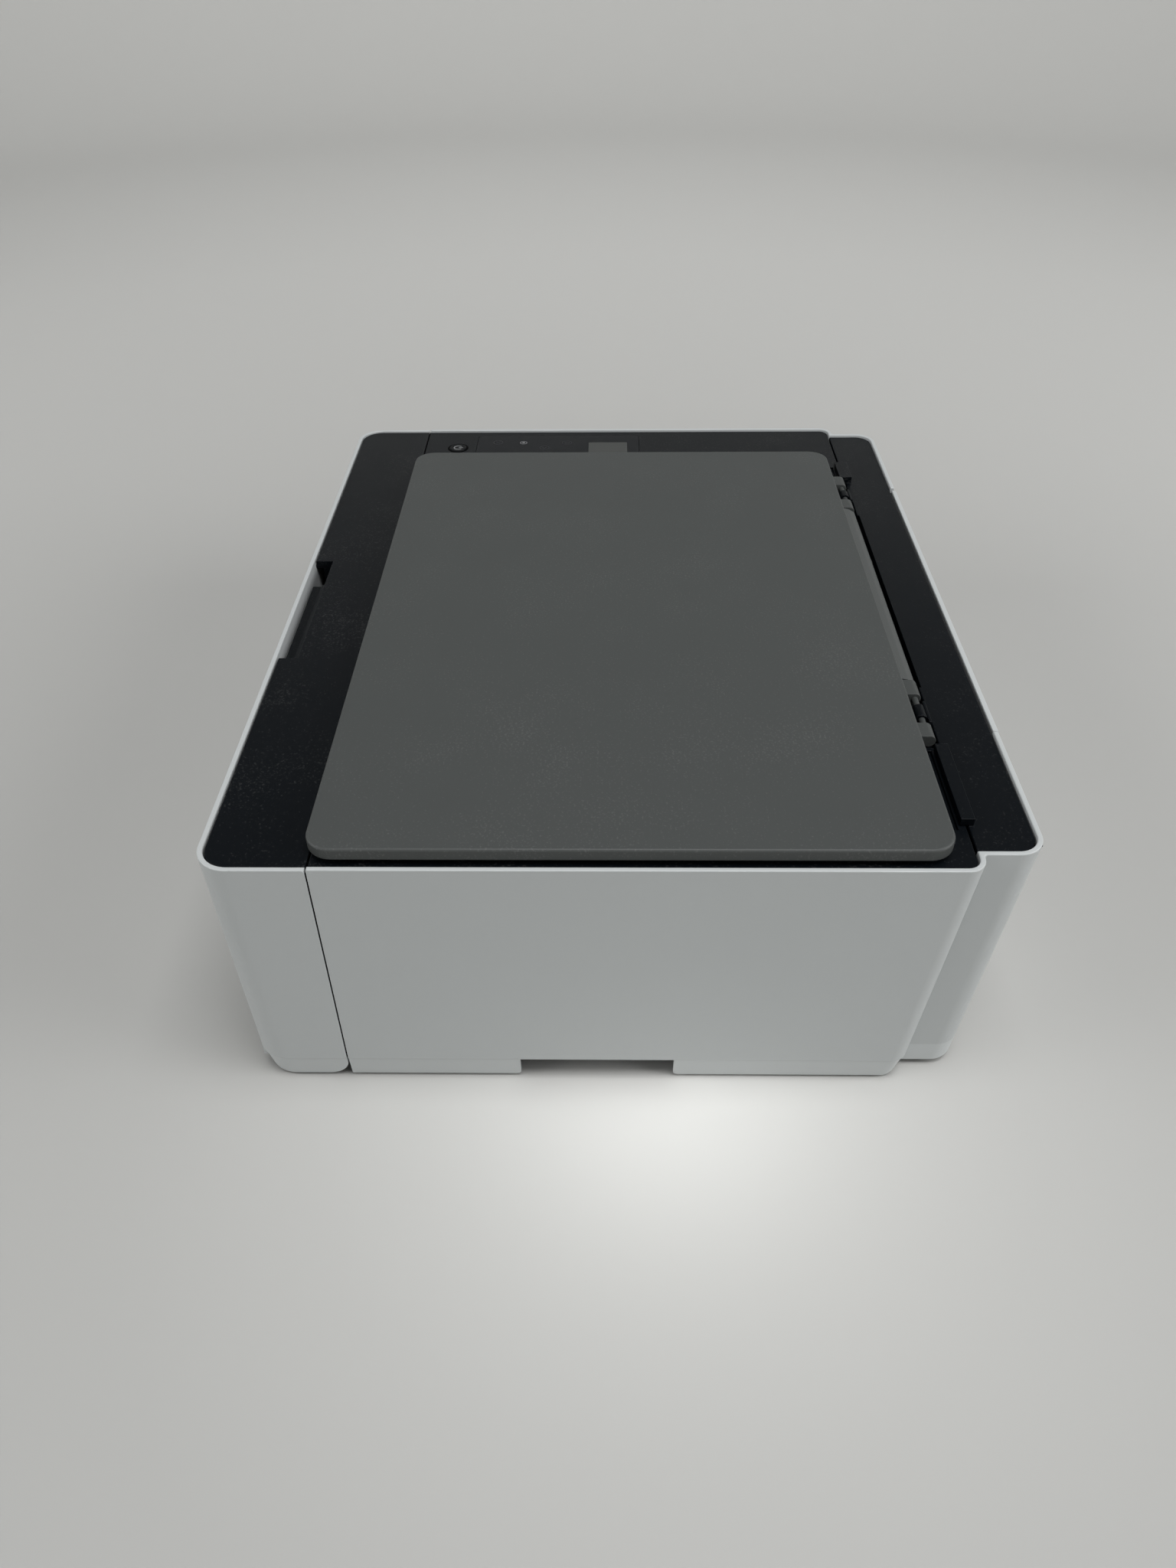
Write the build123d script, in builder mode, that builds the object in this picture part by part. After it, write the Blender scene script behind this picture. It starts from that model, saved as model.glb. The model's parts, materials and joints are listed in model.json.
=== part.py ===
"""Desktop multifunction printer: fold-down front, flatbed scanner under a hinged lid, inkjet engine inside.

Millimetres. +X is the right-hand side seen from the front, -Y is the front, +Z is up.
The origin is the centre of the footprint, on the surface that the feet stand on.
"""
import os
from math import atan2, cos, degrees, hypot, radians, sin, sqrt

from build123d import *

# Overall case
width = 379.0
depth = 304.0
rim_z = 120.4
wall = 2.0
wall_bottom_z = 1.7
front_lean = 3.4
rear_lean = 11.5

# Bottom band of the case walls
band_top_z = 13.3
band_taper = 1.7

# Front section that folds down
cover_depth = 41.1
seam_gap = 0.6
cover_rim_drop = 0.3
cover_corner_r = 13.0
cover_heel_r = 9.0
cover_axis_from_front = 11.0
cover_axis_z = 11.5

# Rear section, narrower than the main one
rear_section_depth = 24.0
rear_section_inset = 8.7
rear_section_bottom_z = 3.2
main_corner_r = 7.2
rear_corner_r = 10.5
step_fillet_r = 1.3
rim_round = 0.5
door_proud = 0.8

# Hand grips in the sides
grip_from_front = 111.7
grip_length = 62.7
grip_depth = 16.0
grip_corner_r = 2.0

# Top decks
deck_drop = 1.0
deck_t = 2.0
deck_groove = 0.5
flange_t = 2.0
deck_split_gap = 0.8
slip = 0.3
fit = 0.06

# Scanner glass and lid
glass_x0 = -118.0
glass_length = 298.0
glass_from_seam = 6.6
glass_width = 216.0
glass_t = 2.8
glass_ledge = 3.4
lid_left_margin = 24.0
lid_right_margin = 6.0
lid_front_margin = 8.0
lid_rear_margin = 5.5
lid_gap = 1.4
lid_t = 5.2
lid_skin = 1.8
lid_wall = 2.2
lid_corner_r = 10.0
lid_axis_behind = 4.5
lid_axis_above_rim = 0.6
lid_rod_r = 1.3

# Control strip, measured from the left-hand side of the case
button_from_side = 25.0
button_y = -91.9
button_r = 4.9
button_travel = 1.0
panel_from_side = 7.5
panel_width = 27.5
panel_y0 = -81.0
panel_y1 = 13.6
panel_t = 0.9
display_from_panel = 10.0
display_width = 15.0
display_y0 = -15.7
display_y1 = 6.7

# Paper path
paper_line_z = 42.0
paper_gap = 0.2
roller_z = 36.0
feed_y = 18.0
output_y = -28.0
roller_r = 6.0
shaft_r = 3.0
pinch_r = 3.5
star_r = 4.0

# Engine frames
left_frame_x = -164.0
right_frame_x = 180.0
middle_frame_x = 116.5
frame_t = 2.0
floor_z = 3.4
floor_t = 3.0

# Gear train on the left frame
gear_module = 0.8
gear_face = 4.0
roller_teeth = 48
idler_teeth = 24
pinion_teeth = 12
pinion_direction_deg = -20.0

# Carriage
carriage_x = 145.0
carriage_half = 28.0
carriage_z0 = 52.0
carriage_top_z = 90.4
carriage_travel = 270.0
belt_z = 66.0
belt_r = 5.0
belt_t = 1.0
belt_y0 = 40.5
belt_w = 4.0
rail_y = 47.0
rail_t = 2.0
rail_top_z = 90.0

# Scanner tub
tub_depth = 23.4
tub_wall = 1.8
tub_floor_t = 1.5
tub_left_margin = 30.0
tub_right_margin = 6.6
tub_front_margin = 3.6
tub_rear_margin = 5.0
scan_rod_y = 40.0
scan_rod_lift = 6.5
scan_rod_r = 3.0
scan_home_x = -128.0

# Derived places
half_w = width / 2
front_y = -depth / 2
rear_y = depth / 2 - door_proud
seam_y = front_y + cover_depth
cover_rear_y = seam_y - seam_gap / 2
main_front_y = seam_y + seam_gap / 2
step_y = depth / 2 - rear_section_depth
floor_top = floor_z + floor_t
deck_top = rim_z - deck_drop
deck_bottom = deck_top - deck_t
flange_bottom = deck_bottom - flange_t
inner_half = half_w - wall
rear_half = half_w - rear_section_inset
cover_axis_y = front_y + cover_axis_from_front
glass_x1 = glass_x0 + glass_length
glass_y0 = main_front_y + glass_from_seam
glass_y1 = glass_y0 + glass_width
glass_top = deck_bottom
lid_x0 = glass_x0 - lid_left_margin
lid_x1 = glass_x1 + lid_right_margin
lid_y0 = glass_y0 - lid_front_margin
lid_y1 = glass_y1 + lid_rear_margin
lid_z0 = rim_z + lid_gap
lid_top = lid_z0 + lid_t
lid_axis_y = lid_y1 + lid_axis_behind
lid_axis_z = rim_z + lid_axis_above_rim
tub_x0 = glass_x0 - tub_left_margin
tub_x1 = glass_x1 + tub_right_margin
tub_y0 = glass_y0 - tub_front_margin
tub_y1 = glass_y1 + tub_rear_margin
tub_z0 = glass_top - tub_depth
tub_floor_z = tub_z0 + tub_floor_t
scan_rod_z = tub_z0 + scan_rod_lift
button_x = -half_w + button_from_side
panel_x0 = -half_w + panel_from_side
panel_x1 = panel_x0 + panel_width
display_x0 = panel_x0 + display_from_panel
display_x1 = display_x0 + display_width
frame_y0 = -50.0
frame_y1 = 62.0
frame_top = tub_z0 - 3.0


def front_at(z):
    """Y of the leaning front face at height z."""
    return front_y + front_lean * (1 - z / rim_z)


def lean_back(y, z):
    """Y of a rear face that stands at y at the rim and leans forward below it."""
    return y - rear_lean * (1 - z / rim_z)


def block(x0, x1, y0, y1, z0, z1, mode=Mode.ADD):
    """Box between two opposite corners."""
    with Locations(((x0 + x1) / 2, (y0 + y1) / 2, (z0 + z1) / 2)):
        Box(x1 - x0, y1 - y0, z1 - z0, mode=mode)


def rod_x(x0, x1, y, z, r, mode=Mode.ADD):
    """Round bar along X."""
    with Locations(Location(((x0 + x1) / 2, y, z), (0, 90, 0))):
        Cylinder(r, x1 - x0, mode=mode)


def rod_y(y0, y1, x, z, r, mode=Mode.ADD):
    """Round bar along Y."""
    with Locations(Location((x, (y0 + y1) / 2, z), (90, 0, 0))):
        Cylinder(r, y1 - y0, mode=mode)


def rod_z(z0, z1, x, y, r, mode=Mode.ADD):
    """Round bar along Z."""
    with Locations((x, y, (z0 + z1) / 2)):
        Cylinder(r, z1 - z0, mode=mode)


def plan(z, x0, x1, y0, y1, r_front, r_rear):
    """Rectangle at height z with one radius for its front corners and one for its rear corners."""
    with BuildSketch(Plane.XY.offset(z)) as outline:
        with BuildLine():
            Polyline((x0, y0), (x1, y0), (x1, y1), (x0, y1), close=True)
        make_face()
        if r_front > 0:
            fillet(outline.vertices().group_by(Axis.Y)[0], r_front)
        if r_rear > 0:
            fillet(outline.vertices().group_by(Axis.Y)[-1], r_rear)
    return outline.sketch


def slab(x0, x1, y0, y1, z0, z1, r_front, r_rear, mode=Mode.ADD):
    """Plate with rounded vertical corners."""
    extrude(plan(z0, x0, x1, y0, y1, r_front, r_rear), amount=z1 - z0, mode=mode)


def save(part, name):
    """Label a finished piece and write it."""
    part.part.label = name
    export_step(part.part, "parts/" + name + ".step")


def gear_outline(teeth, phase_deg, y, z, x):
    """Straight-flanked gear outline in a plane square to X, with a tooth at the phase angle."""
    pitch_r = gear_module * teeth / 2
    tip_r = pitch_r + 0.8 * gear_module
    root_r = pitch_r - 1.2 * gear_module
    step = 360 / teeth
    points = []
    for tooth in range(teeth):
        centre = phase_deg + tooth * step
        for share, radius in ((-0.33, root_r), (-0.11, tip_r), (0.11, tip_r), (0.33, root_r)):
            angle = radians(centre + share * step)
            points.append((y + radius * cos(angle), z + radius * sin(angle)))
    with BuildSketch(Plane.YZ.offset(x)) as outline:
        with BuildLine():
            Polyline(*points, close=True)
        make_face()
    return outline.sketch


def mesh_phase(phase_deg, teeth, towards_deg, other_teeth):
    """Phase of a gear that meshes with one whose phase is known, in the direction from it to the other."""
    step = 360 / teeth
    lead = (phase_deg - towards_deg + step / 2) % step - step / 2
    return towards_deg + 180 - lead * teeth / other_teeth + 180 / other_teeth


os.makedirs("parts", exist_ok=True)

# Main case wall: the long section and the narrower rear section in one open shell
rear_window_half = rear_half - 10.4
rear_window_z0 = 8.0
rear_window_z1 = rim_z - 8.4
door_half = 107.6
door_z0 = 15.2
door_opening_half = door_half + 0.8
door_opening_z0 = 12.4
overshoot = 2.0
grip_y0 = front_y + grip_from_front
grip_y1 = grip_y0 + grip_length


def main_outline(z, inset, r, y_front):
    """Plan of the long section at height z."""
    return plan(z, -half_w + inset, half_w - inset, y_front, lean_back(step_y, z) - inset, 0, r)


def rear_outline(z, inset, r):
    """Plan of the rear section at height z."""
    start = lean_back(step_y, z) - 15
    return plan(z, -rear_half + inset, rear_half - inset, start, lean_back(rear_y, z) - inset, 0, r)


with BuildPart() as main_shell:
    lower = main_outline(band_top_z, 0, main_corner_r, main_front_y)
    upper = main_outline(rim_z, 0, main_corner_r, main_front_y)
    loft([lower, upper])
    lower = main_outline(wall_bottom_z, band_taper, main_corner_r, main_front_y)
    upper = main_outline(band_top_z, 0.25, main_corner_r, main_front_y)
    loft([lower, upper])
    lower = rear_outline(rear_section_bottom_z, 0, rear_corner_r)
    upper = rear_outline(rim_z, 0, rear_corner_r)
    loft([lower, upper])
    lower = main_outline(band_top_z, wall, main_corner_r - wall, main_front_y - overshoot)
    upper = main_outline(rim_z + overshoot, wall, main_corner_r - wall, main_front_y - overshoot)
    loft([lower, upper], mode=Mode.SUBTRACT)
    lower = main_outline(wall_bottom_z - overshoot, band_taper + wall, main_corner_r - wall,
                         main_front_y - overshoot)
    upper = main_outline(band_top_z, wall, main_corner_r - wall, main_front_y - overshoot)
    loft([lower, upper], mode=Mode.SUBTRACT)
    lower = rear_outline(wall_bottom_z - overshoot, wall, rear_corner_r - wall)
    upper = rear_outline(rim_z + overshoot, wall, rear_corner_r - wall)
    loft([lower, upper], mode=Mode.SUBTRACT)
    for side in (-1, 1):
        x_out = side * (half_w + overshoot)
        x_in = side * (half_w - 6)
        block(min(x_in, x_out), max(x_in, x_out), grip_y0, grip_y1, -1, band_top_z, Mode.SUBTRACT)
    block(-rear_window_half, rear_window_half, step_y, rear_y + 3, rear_window_z0, rear_window_z1,
          Mode.SUBTRACT)
    block(-door_opening_half - 0.6, door_opening_half + 0.6, rear_y - 8, rear_y + 3, rear_window_z1 - 1,
          rim_z + 1, Mode.SUBTRACT)
    step_edges = [edge for edge in main_shell.edges()
                  if abs(abs(edge.center().X) - rear_half) < 0.6 and edge.length > 60
                  and abs(edge.center().Y - lean_back(step_y, edge.center().Z)) < 2]
    fillet(step_edges, step_fillet_r)
    grip_corners = [edge for edge in main_shell.edges().filter_by(Axis.X)
                    if edge.center().Z < wall_bottom_z + 1
                    and min(abs(edge.center().Y - grip_y0), abs(edge.center().Y - grip_y1)) < 0.1]
    fillet(grip_corners, grip_corner_r)
    fillet(main_shell.edges().filter_by(Plane.XY).group_by(Axis.Z)[-1], rim_round)
save(main_shell, "main_shell")

# Front cover: front wall and side returns, turning on pins low behind the front wall
cover_top_z = rim_z - cover_rim_drop
cover_lug_x0 = half_w - 11.0
cover_lug_x1 = cover_lug_x0 + 4.0
cover_pin_r = 2.5
cover_boss_r = 4.4


def cover_outline(z, inset, r, y_rear):
    """Plan of the front cover at height z."""
    return plan(z, -half_w + inset, half_w - inset, front_at(z) + inset, y_rear, r, 0)


with BuildPart() as front_cover:
    lower = cover_outline(band_top_z, 0, cover_corner_r, cover_rear_y)
    upper = cover_outline(cover_top_z, 0, cover_corner_r, cover_rear_y)
    loft([lower, upper])
    lower = cover_outline(wall_bottom_z, band_taper, cover_corner_r, cover_rear_y)
    upper = cover_outline(band_top_z, 0.25, cover_corner_r, cover_rear_y)
    loft([lower, upper])
    lower = cover_outline(band_top_z, wall, cover_corner_r - wall, cover_rear_y + overshoot)
    upper = cover_outline(rim_z + overshoot, wall, cover_corner_r - wall, cover_rear_y + overshoot)
    loft([lower, upper], mode=Mode.SUBTRACT)
    lower = cover_outline(wall_bottom_z - overshoot, band_taper + wall, cover_corner_r - wall,
                          cover_rear_y + overshoot)
    upper = cover_outline(band_top_z, wall, cover_corner_r - wall, cover_rear_y + overshoot)
    loft([lower, upper], mode=Mode.SUBTRACT)
    with BuildSketch(Plane.YZ.offset(-half_w - 1)):
        with Locations((cover_rear_y - cover_heel_r / 2 + 1, wall_bottom_z + cover_heel_r / 2 - 1)):
            Rectangle(cover_heel_r + 2, cover_heel_r + 2)
        with Locations((cover_rear_y - cover_heel_r, wall_bottom_z + cover_heel_r)):
            Circle(cover_heel_r, mode=Mode.SUBTRACT)
    extrude(amount=width + 2, mode=Mode.SUBTRACT)
    for side in (-1, 1):
        x0 = min(side * cover_lug_x0, side * cover_lug_x1)
        x1 = max(side * cover_lug_x0, side * cover_lug_x1)
        block(x0, x1, front_at(cover_axis_z) + 1.2, cover_axis_y, cover_axis_z - cover_boss_r,
              cover_axis_z + cover_boss_r)
        rod_x(x0, x1, cover_axis_y, cover_axis_z, cover_boss_r)
        rod_x(x0, x1, cover_axis_y, cover_axis_z, cover_pin_r + fit, Mode.SUBTRACT)
    fillet(front_cover.edges().filter_by(Plane.XY).group_by(Axis.Z)[-1], rim_round)
save(front_cover, "front_cover")

# Black strip on top of the front cover, with the notch that the fingers pull
notch_x0 = -31.0
notch_x1 = 55.0
notch_rear_y = front_y + 11.0
notch_depth = 17.0
notch_wall = 1.5
notch_floor_z = deck_top - 5.0
notch_hole = 16.0
notch_gap = 1.2
notch_ramp = 2.4
strip_rear_y = cover_rear_y
with BuildPart() as front_top_strip:
    strip_in = wall + deck_groove
    outline = plan(deck_bottom, -half_w + strip_in, half_w - strip_in, front_at(deck_top) + strip_in,
                   strip_rear_y, cover_corner_r - strip_in, 0)
    extrude(outline, amount=deck_t)
    fillet(edges().filter_by(Plane.XY).group_by(Axis.Z)[-1].sort_by(Axis.Y)[:-1], 0.5)
    outline = plan(flange_bottom, -half_w + wall, half_w - wall, front_at(flange_bottom) + wall + 0.1,
                   strip_rear_y - 1.5, cover_corner_r - wall, 0)
    extrude(outline, amount=flange_t)
    block(notch_x0, notch_x1, front_y, notch_rear_y, flange_bottom - 1, rim_z, Mode.SUBTRACT)
    block(notch_x0 - notch_wall, notch_x1 + notch_wall, notch_rear_y, notch_rear_y + notch_wall,
          deck_bottom - notch_depth, deck_bottom)
    block(notch_x0 + notch_hole, notch_x1, front_at(notch_floor_z) + wall + notch_gap, notch_rear_y + 0.5,
          notch_floor_z - notch_wall, notch_floor_z)
    with BuildSketch(Plane.YZ.offset(notch_x0 + notch_hole)):
        with BuildLine():
            Polyline((notch_rear_y + 0.5, notch_floor_z - 0.5), (notch_rear_y + 0.5, notch_floor_z + notch_ramp),
                     (notch_rear_y, notch_floor_z + notch_ramp), (notch_rear_y - 4.6, notch_floor_z - 0.5),
                     close=True)
        make_face()
    extrude(amount=notch_x1 - notch_x0 - notch_hole)
    for x0 in (notch_x0 - notch_wall, notch_x1):
        block(x0, x0 + notch_wall, front_at(0) + wall + 0.2, notch_rear_y, deck_bottom - notch_depth,
              deck_bottom)
save(front_top_strip, "front_top_strip")

# Liner inside the front cover: the paper rests on it when the cover lies open
liner_half = half_w - 24.5
liner_y = front_y + 14.0
liner_t = 1.8
liner_z0 = 22.0
liner_z1 = rim_z - 21.4
liner_rib_x = (-160.0, -80.0, 0.0, 80.0, 158.2)
with BuildPart() as tray_liner:
    block(-liner_half, liner_half, liner_y, liner_y + liner_t, liner_z0, liner_z1)
    for x in liner_rib_x:
        block(x, x + liner_t, front_at(liner_z0) + wall, liner_y, liner_z0, liner_z1 - 8)
    for x in (-110.0, -50.0, 50.0, 110.0):
        block(x - 1, x + 1, liner_y + liner_t, liner_y + liner_t + 2.5, liner_z0 + 4, liner_z1 - 4)
    lower = plan(liner_z0, -liner_half - 5, liner_half + 5, front_at(0) - 20, front_at(liner_z0) + wall, 0, 0)
    upper = plan(rim_z, -liner_half - 5, liner_half + 5, front_at(0) - 20, front_at(rim_z) + wall, 0, 0)
    loft([lower, upper], mode=Mode.SUBTRACT)
save(tray_liner, "tray_liner")

# Base: floor, hand grip pockets and the two arms that carry the front cover
grip_wall_x = half_w - grip_depth
screw_r = 1.5
screw_places = ((-150.0, 40.0), (150.0, 84.0), (-150.0, -70.0), (150.0, -70.0))
arm_x0 = half_w - 17.0
arm_x1 = cover_lug_x0 - 0.5
base_half = inner_half - band_taper - 0.2
base_rear_half = rear_half - wall - 1.2
base_main_y1 = lean_back(step_y, floor_z) - wall - band_taper - 0.6
base_rear_y1 = lean_back(rear_y, floor_z) - wall - 1.0
pan_front_y = main_front_y + 2.0
with BuildPart() as base_pan:
    slab(-base_half, base_half, pan_front_y, base_main_y1, floor_z, floor_top, 0, 6.0)
    slab(-base_rear_half, base_rear_half, base_main_y1 - 12.5, base_rear_y1, floor_z, floor_top, 0, 8.0)
    for side in (-1, 1):
        outer = side * (base_half + 4)
        inner = side * grip_wall_x
        block(min(outer, inner), max(outer, inner), grip_y0 - 1, grip_y1 + 1, 0, floor_top + 1, Mode.SUBTRACT)
        wall_in = inner - side * 2
        block(min(wall_in, inner), max(wall_in, inner), grip_y0 - 3, grip_y1 + 3, floor_z, band_top_z + 2.5)
        roof = side * (inner_half - 0.3)
        block(min(wall_in, roof), max(wall_in, roof), grip_y0 - 3, grip_y1 + 3, band_top_z + 0.5,
              band_top_z + 2.5)
        for y in (grip_y0 - 3, grip_y1 + 1):
            cheek = side * (base_half - 0.5)
            block(min(inner, cheek), max(inner, cheek), y, y + 2, floor_z, band_top_z + 2.5)
        x0 = min(side * arm_x0, side * arm_x1)
        x1 = max(side * arm_x0, side * arm_x1)
        block(x0, x1, cover_axis_y, pan_front_y + 14, cover_axis_z - 2.6, cover_axis_z + 4.2)
        block(x0, x1, pan_front_y, pan_front_y + 14, floor_z, cover_axis_z)
        rod_x(x0, x1, cover_axis_y, cover_axis_z, 4.2)
        pin_end = side * (cover_lug_x1 + 1)
        rod_x(min(side * arm_x0, pin_end), max(side * arm_x0, pin_end), cover_axis_y, cover_axis_z,
              cover_pin_r)
    for x, y in screw_places:
        rod_z(floor_z - 1, floor_top + 1, x, y, screw_r, Mode.SUBTRACT)
save(base_pan, "base_pan")

foot_r = 8.0
foot_x = half_w - 41.5
foot_y0 = front_y + 64.0
foot_y1 = step_y - 24.0
with BuildPart() as rubber_feet:
    with BuildSketch(Plane.XY):
        with Locations((-foot_x, foot_y0), (foot_x, foot_y0), (-foot_x, foot_y1), (foot_x, foot_y1)):
            Circle(foot_r)
    extrude(amount=floor_z)
    fillet(edges().group_by(Axis.Z)[0], 0.8)
save(rubber_feet, "rubber_feet")

# Frame round the opening behind the front cover
bezel_t = 2.5
bezel_open_half = 156.0
bezel_open_z0 = 6.4
bezel_open_z1 = 84.0
with BuildPart() as front_bezel:
    block(-inner_half + 0.2, inner_half - 0.2, main_front_y + 0.2, main_front_y + 0.2 + bezel_t, 15.9,
          flange_bottom - 0.1)
    block(-arm_x0 + 3, arm_x0 - 3, main_front_y + 0.2, pan_front_y, floor_z, 15.9)
    block(-bezel_open_half, bezel_open_half, main_front_y - 1, pan_front_y + 5, bezel_open_z0, bezel_open_z1,
          Mode.SUBTRACT)
save(front_bezel, "front_bezel")

# Main deck: frame round the glass, with the control strip and the hinge trough
deck_half = inner_half - deck_groove
deck_rear_y = lid_axis_y + 3.4
trough_x = 118.6
trough_y0 = lid_y1 + 1.1
trough_wall = 1.4
trough_floor_z = deck_top - 6.9
board_z = deck_bottom - 9.4
board_t = 1.6
board_x0 = panel_x0 - 2.0
board_x1 = panel_x1 + 4.9
board_y0 = button_y - 9.1
board_y1 = panel_y1 + 9.4
post_r = 2.5
post_x0 = board_x0 + 4.0
post_x1 = board_x1 - 2.9
post_y0 = board_y0 + 3.0
post_y1 = board_y1 - 3.0
post_places = ((post_x0, post_y0), (post_x1, post_y0), (post_x0, post_y1), (post_x1, post_y1))
side_groove_x0 = -137.0
side_groove_x1 = 166.8
side_groove_y0 = lid_axis_y - 2.4
side_groove_y1 = lid_axis_y + 0.2
button_guide_r = button_r + 2.4
with BuildPart() as main_deck:
    outline = plan(deck_bottom, -deck_half, deck_half, main_front_y, deck_rear_y, 0,
                   main_corner_r - wall - deck_groove)
    extrude(outline, amount=deck_t)
    chamfer(edges().filter_by(Plane.XY).group_by(Axis.Z)[-1], 0.35)
    slab(-inner_half + 0.2, inner_half - 0.2, main_front_y + 0.3, deck_rear_y - 0.6, flange_bottom,
         deck_bottom, 0, main_corner_r - wall)
    block(glass_x0 - glass_ledge - 0.6, glass_x1 + glass_ledge + 0.6, glass_y0 - glass_ledge - 0.6,
          glass_y1 + glass_ledge - 0.4, flange_bottom - 1, deck_bottom, Mode.SUBTRACT)
    block(tub_x0 - 1, tub_x0 + 34, tub_y0 + 8, tub_y1 - 8, flange_bottom - 1, deck_bottom, Mode.SUBTRACT)
    slab(glass_x0, glass_x1, glass_y0, glass_y1, deck_bottom - 1, rim_z, 1.5, 1.5, Mode.SUBTRACT)
    block(-trough_x - trough_wall, trough_x + trough_wall, trough_y0 - trough_wall, deck_rear_y,
          trough_floor_z, deck_bottom)
    block(-trough_x, trough_x, trough_y0, deck_rear_y + 1, trough_floor_z + trough_wall, rim_z,
          Mode.SUBTRACT)
    block(trough_x + 2, side_groove_x1, side_groove_y0, side_groove_y1, deck_top - 1.4, rim_z, Mode.SUBTRACT)
    block(side_groove_x0, -trough_x - 2, side_groove_y0, side_groove_y1, deck_top - 1.4, rim_z, Mode.SUBTRACT)
    slab(panel_x0 - 0.2, panel_x1 + 0.2, panel_y0 - 0.2, panel_y1 + 0.2, deck_top - panel_t, rim_z, 3.2, 3.2,
         Mode.SUBTRACT)
    block(display_x0 + 1, display_x1 - 1, display_y0 + 1, display_y1 - 1, flange_bottom - 1, rim_z,
          Mode.SUBTRACT)
    block(panel_x0 + 1, panel_x1 + 2.5, panel_y0 + 2, panel_y1 - 2, flange_bottom - 1, deck_bottom,
          Mode.SUBTRACT)
    rod_z(flange_bottom - 1, rim_z, button_x, button_y, button_r + slip, Mode.SUBTRACT)
    rod_z(flange_bottom - 1, deck_bottom, button_x, button_y, button_guide_r, Mode.SUBTRACT)
    for x, y in post_places:
        rod_z(board_z + board_t, deck_bottom, x, y, post_r)
save(main_deck, "main_deck")

with BuildPart() as scan_glass:
    slab(glass_x0 - glass_ledge, glass_x1 + glass_ledge, glass_y0 - glass_ledge, glass_y1 + glass_ledge - 1,
         glass_top - glass_t, glass_top, 1, 1)
save(scan_glass, "scan_glass")

# Rear deck with its two raised blocks
rear_deck_half = rear_half - wall - deck_groove
rear_deck_y0 = deck_rear_y + deck_split_gap
rear_deck_y1 = rear_y - wall - deck_groove
crossbar_y0 = rear_y - 4.8
crossbar_t = 1.5
block_top_z = deck_top + 3.4
lip_x0 = -78.6
lip_x1 = 76.9
lip_clearance = 1.0
right_block_x0 = 120.2
right_block_x1 = 164.7
left_block_x0 = -136.7
left_block_x1 = -117.3
with BuildPart() as rear_deck:
    slab(-rear_deck_half, rear_deck_half, rear_deck_y0, rear_deck_y1, deck_bottom, deck_top, 0,
         rear_corner_r - wall - deck_groove)
    chamfer(edges().filter_by(Plane.XY).group_by(Axis.Z)[-1], 0.35)
    slab(-rear_deck_half - 0.3, rear_deck_half + 0.3, rear_deck_y0 + 0.6, rear_deck_y1 - 0.2, flange_bottom,
         deck_bottom, 0, rear_corner_r - wall)
    block(lip_x0 - 0.4, lip_x1 + 0.4, rear_deck_y0 - 1, rear_deck_y0 + lip_clearance, flange_bottom - 1,
          rim_z, Mode.SUBTRACT)
    block(right_block_x0, right_block_x1, lid_axis_y + 1, rear_deck_y0 + 2, deck_top + slip, block_top_z)
    block(right_block_x0, right_block_x1, rear_deck_y0, rear_deck_y0 + 2, deck_top - 0.5, block_top_z)
    block(left_block_x0, left_block_x1, lid_axis_y + 0.6, rear_deck_y0 + 3, deck_top + slip, block_top_z)
    block(left_block_x0, left_block_x1, rear_deck_y0, rear_deck_y0 + 3, deck_top - 0.5, block_top_z)
save(rear_deck, "rear_deck")

# Rear panel, on the leaning rear face
rear_angle = degrees(atan2(rear_lean, rim_z))
rear_plane = Plane(origin=(0, rear_y - rear_lean, 0), x_dir=(-1, 0, 0),
                   z_dir=(0, cos(radians(rear_angle)), -sin(radians(rear_angle))))
slope = 1 / cos(radians(rear_angle))
door_axis_z = 18.8
door_axis_y = lean_back(rear_y, door_axis_z) - 3.3
door_lug_y1 = door_axis_y + 2.4
crossbar_z0 = rear_window_z1 - 8.0
door_pin_r = 1.6
inlet_x = 140.0
inlet_z = 22.0
inlet_w = 20.0
inlet_h = 11.0
usb_x = -140.0
usb_z = 20.4
usb_w = 13.0
usb_h = 12.0
panel_gap = 0.2
vent_rows = 8
vent_pitch = 7.0
vent_height = 2.6
vent_half = 18.0
vent_z0 = 52.0


def on_rear(x0, x1, z0, z1, outward, inward, mode=Mode.ADD):
    """Plate on the leaning rear face, from z0 to z1, from outward mm outside it to inward mm inside it."""
    with BuildSketch(rear_plane.offset(outward)) as outline:
        with Locations((-(x0 + x1) / 2, (z0 + z1) / 2 * slope)):
            Rectangle(x1 - x0, (z1 - z0) * slope)
    extrude(outline.sketch, amount=-(outward + inward), mode=mode)


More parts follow.
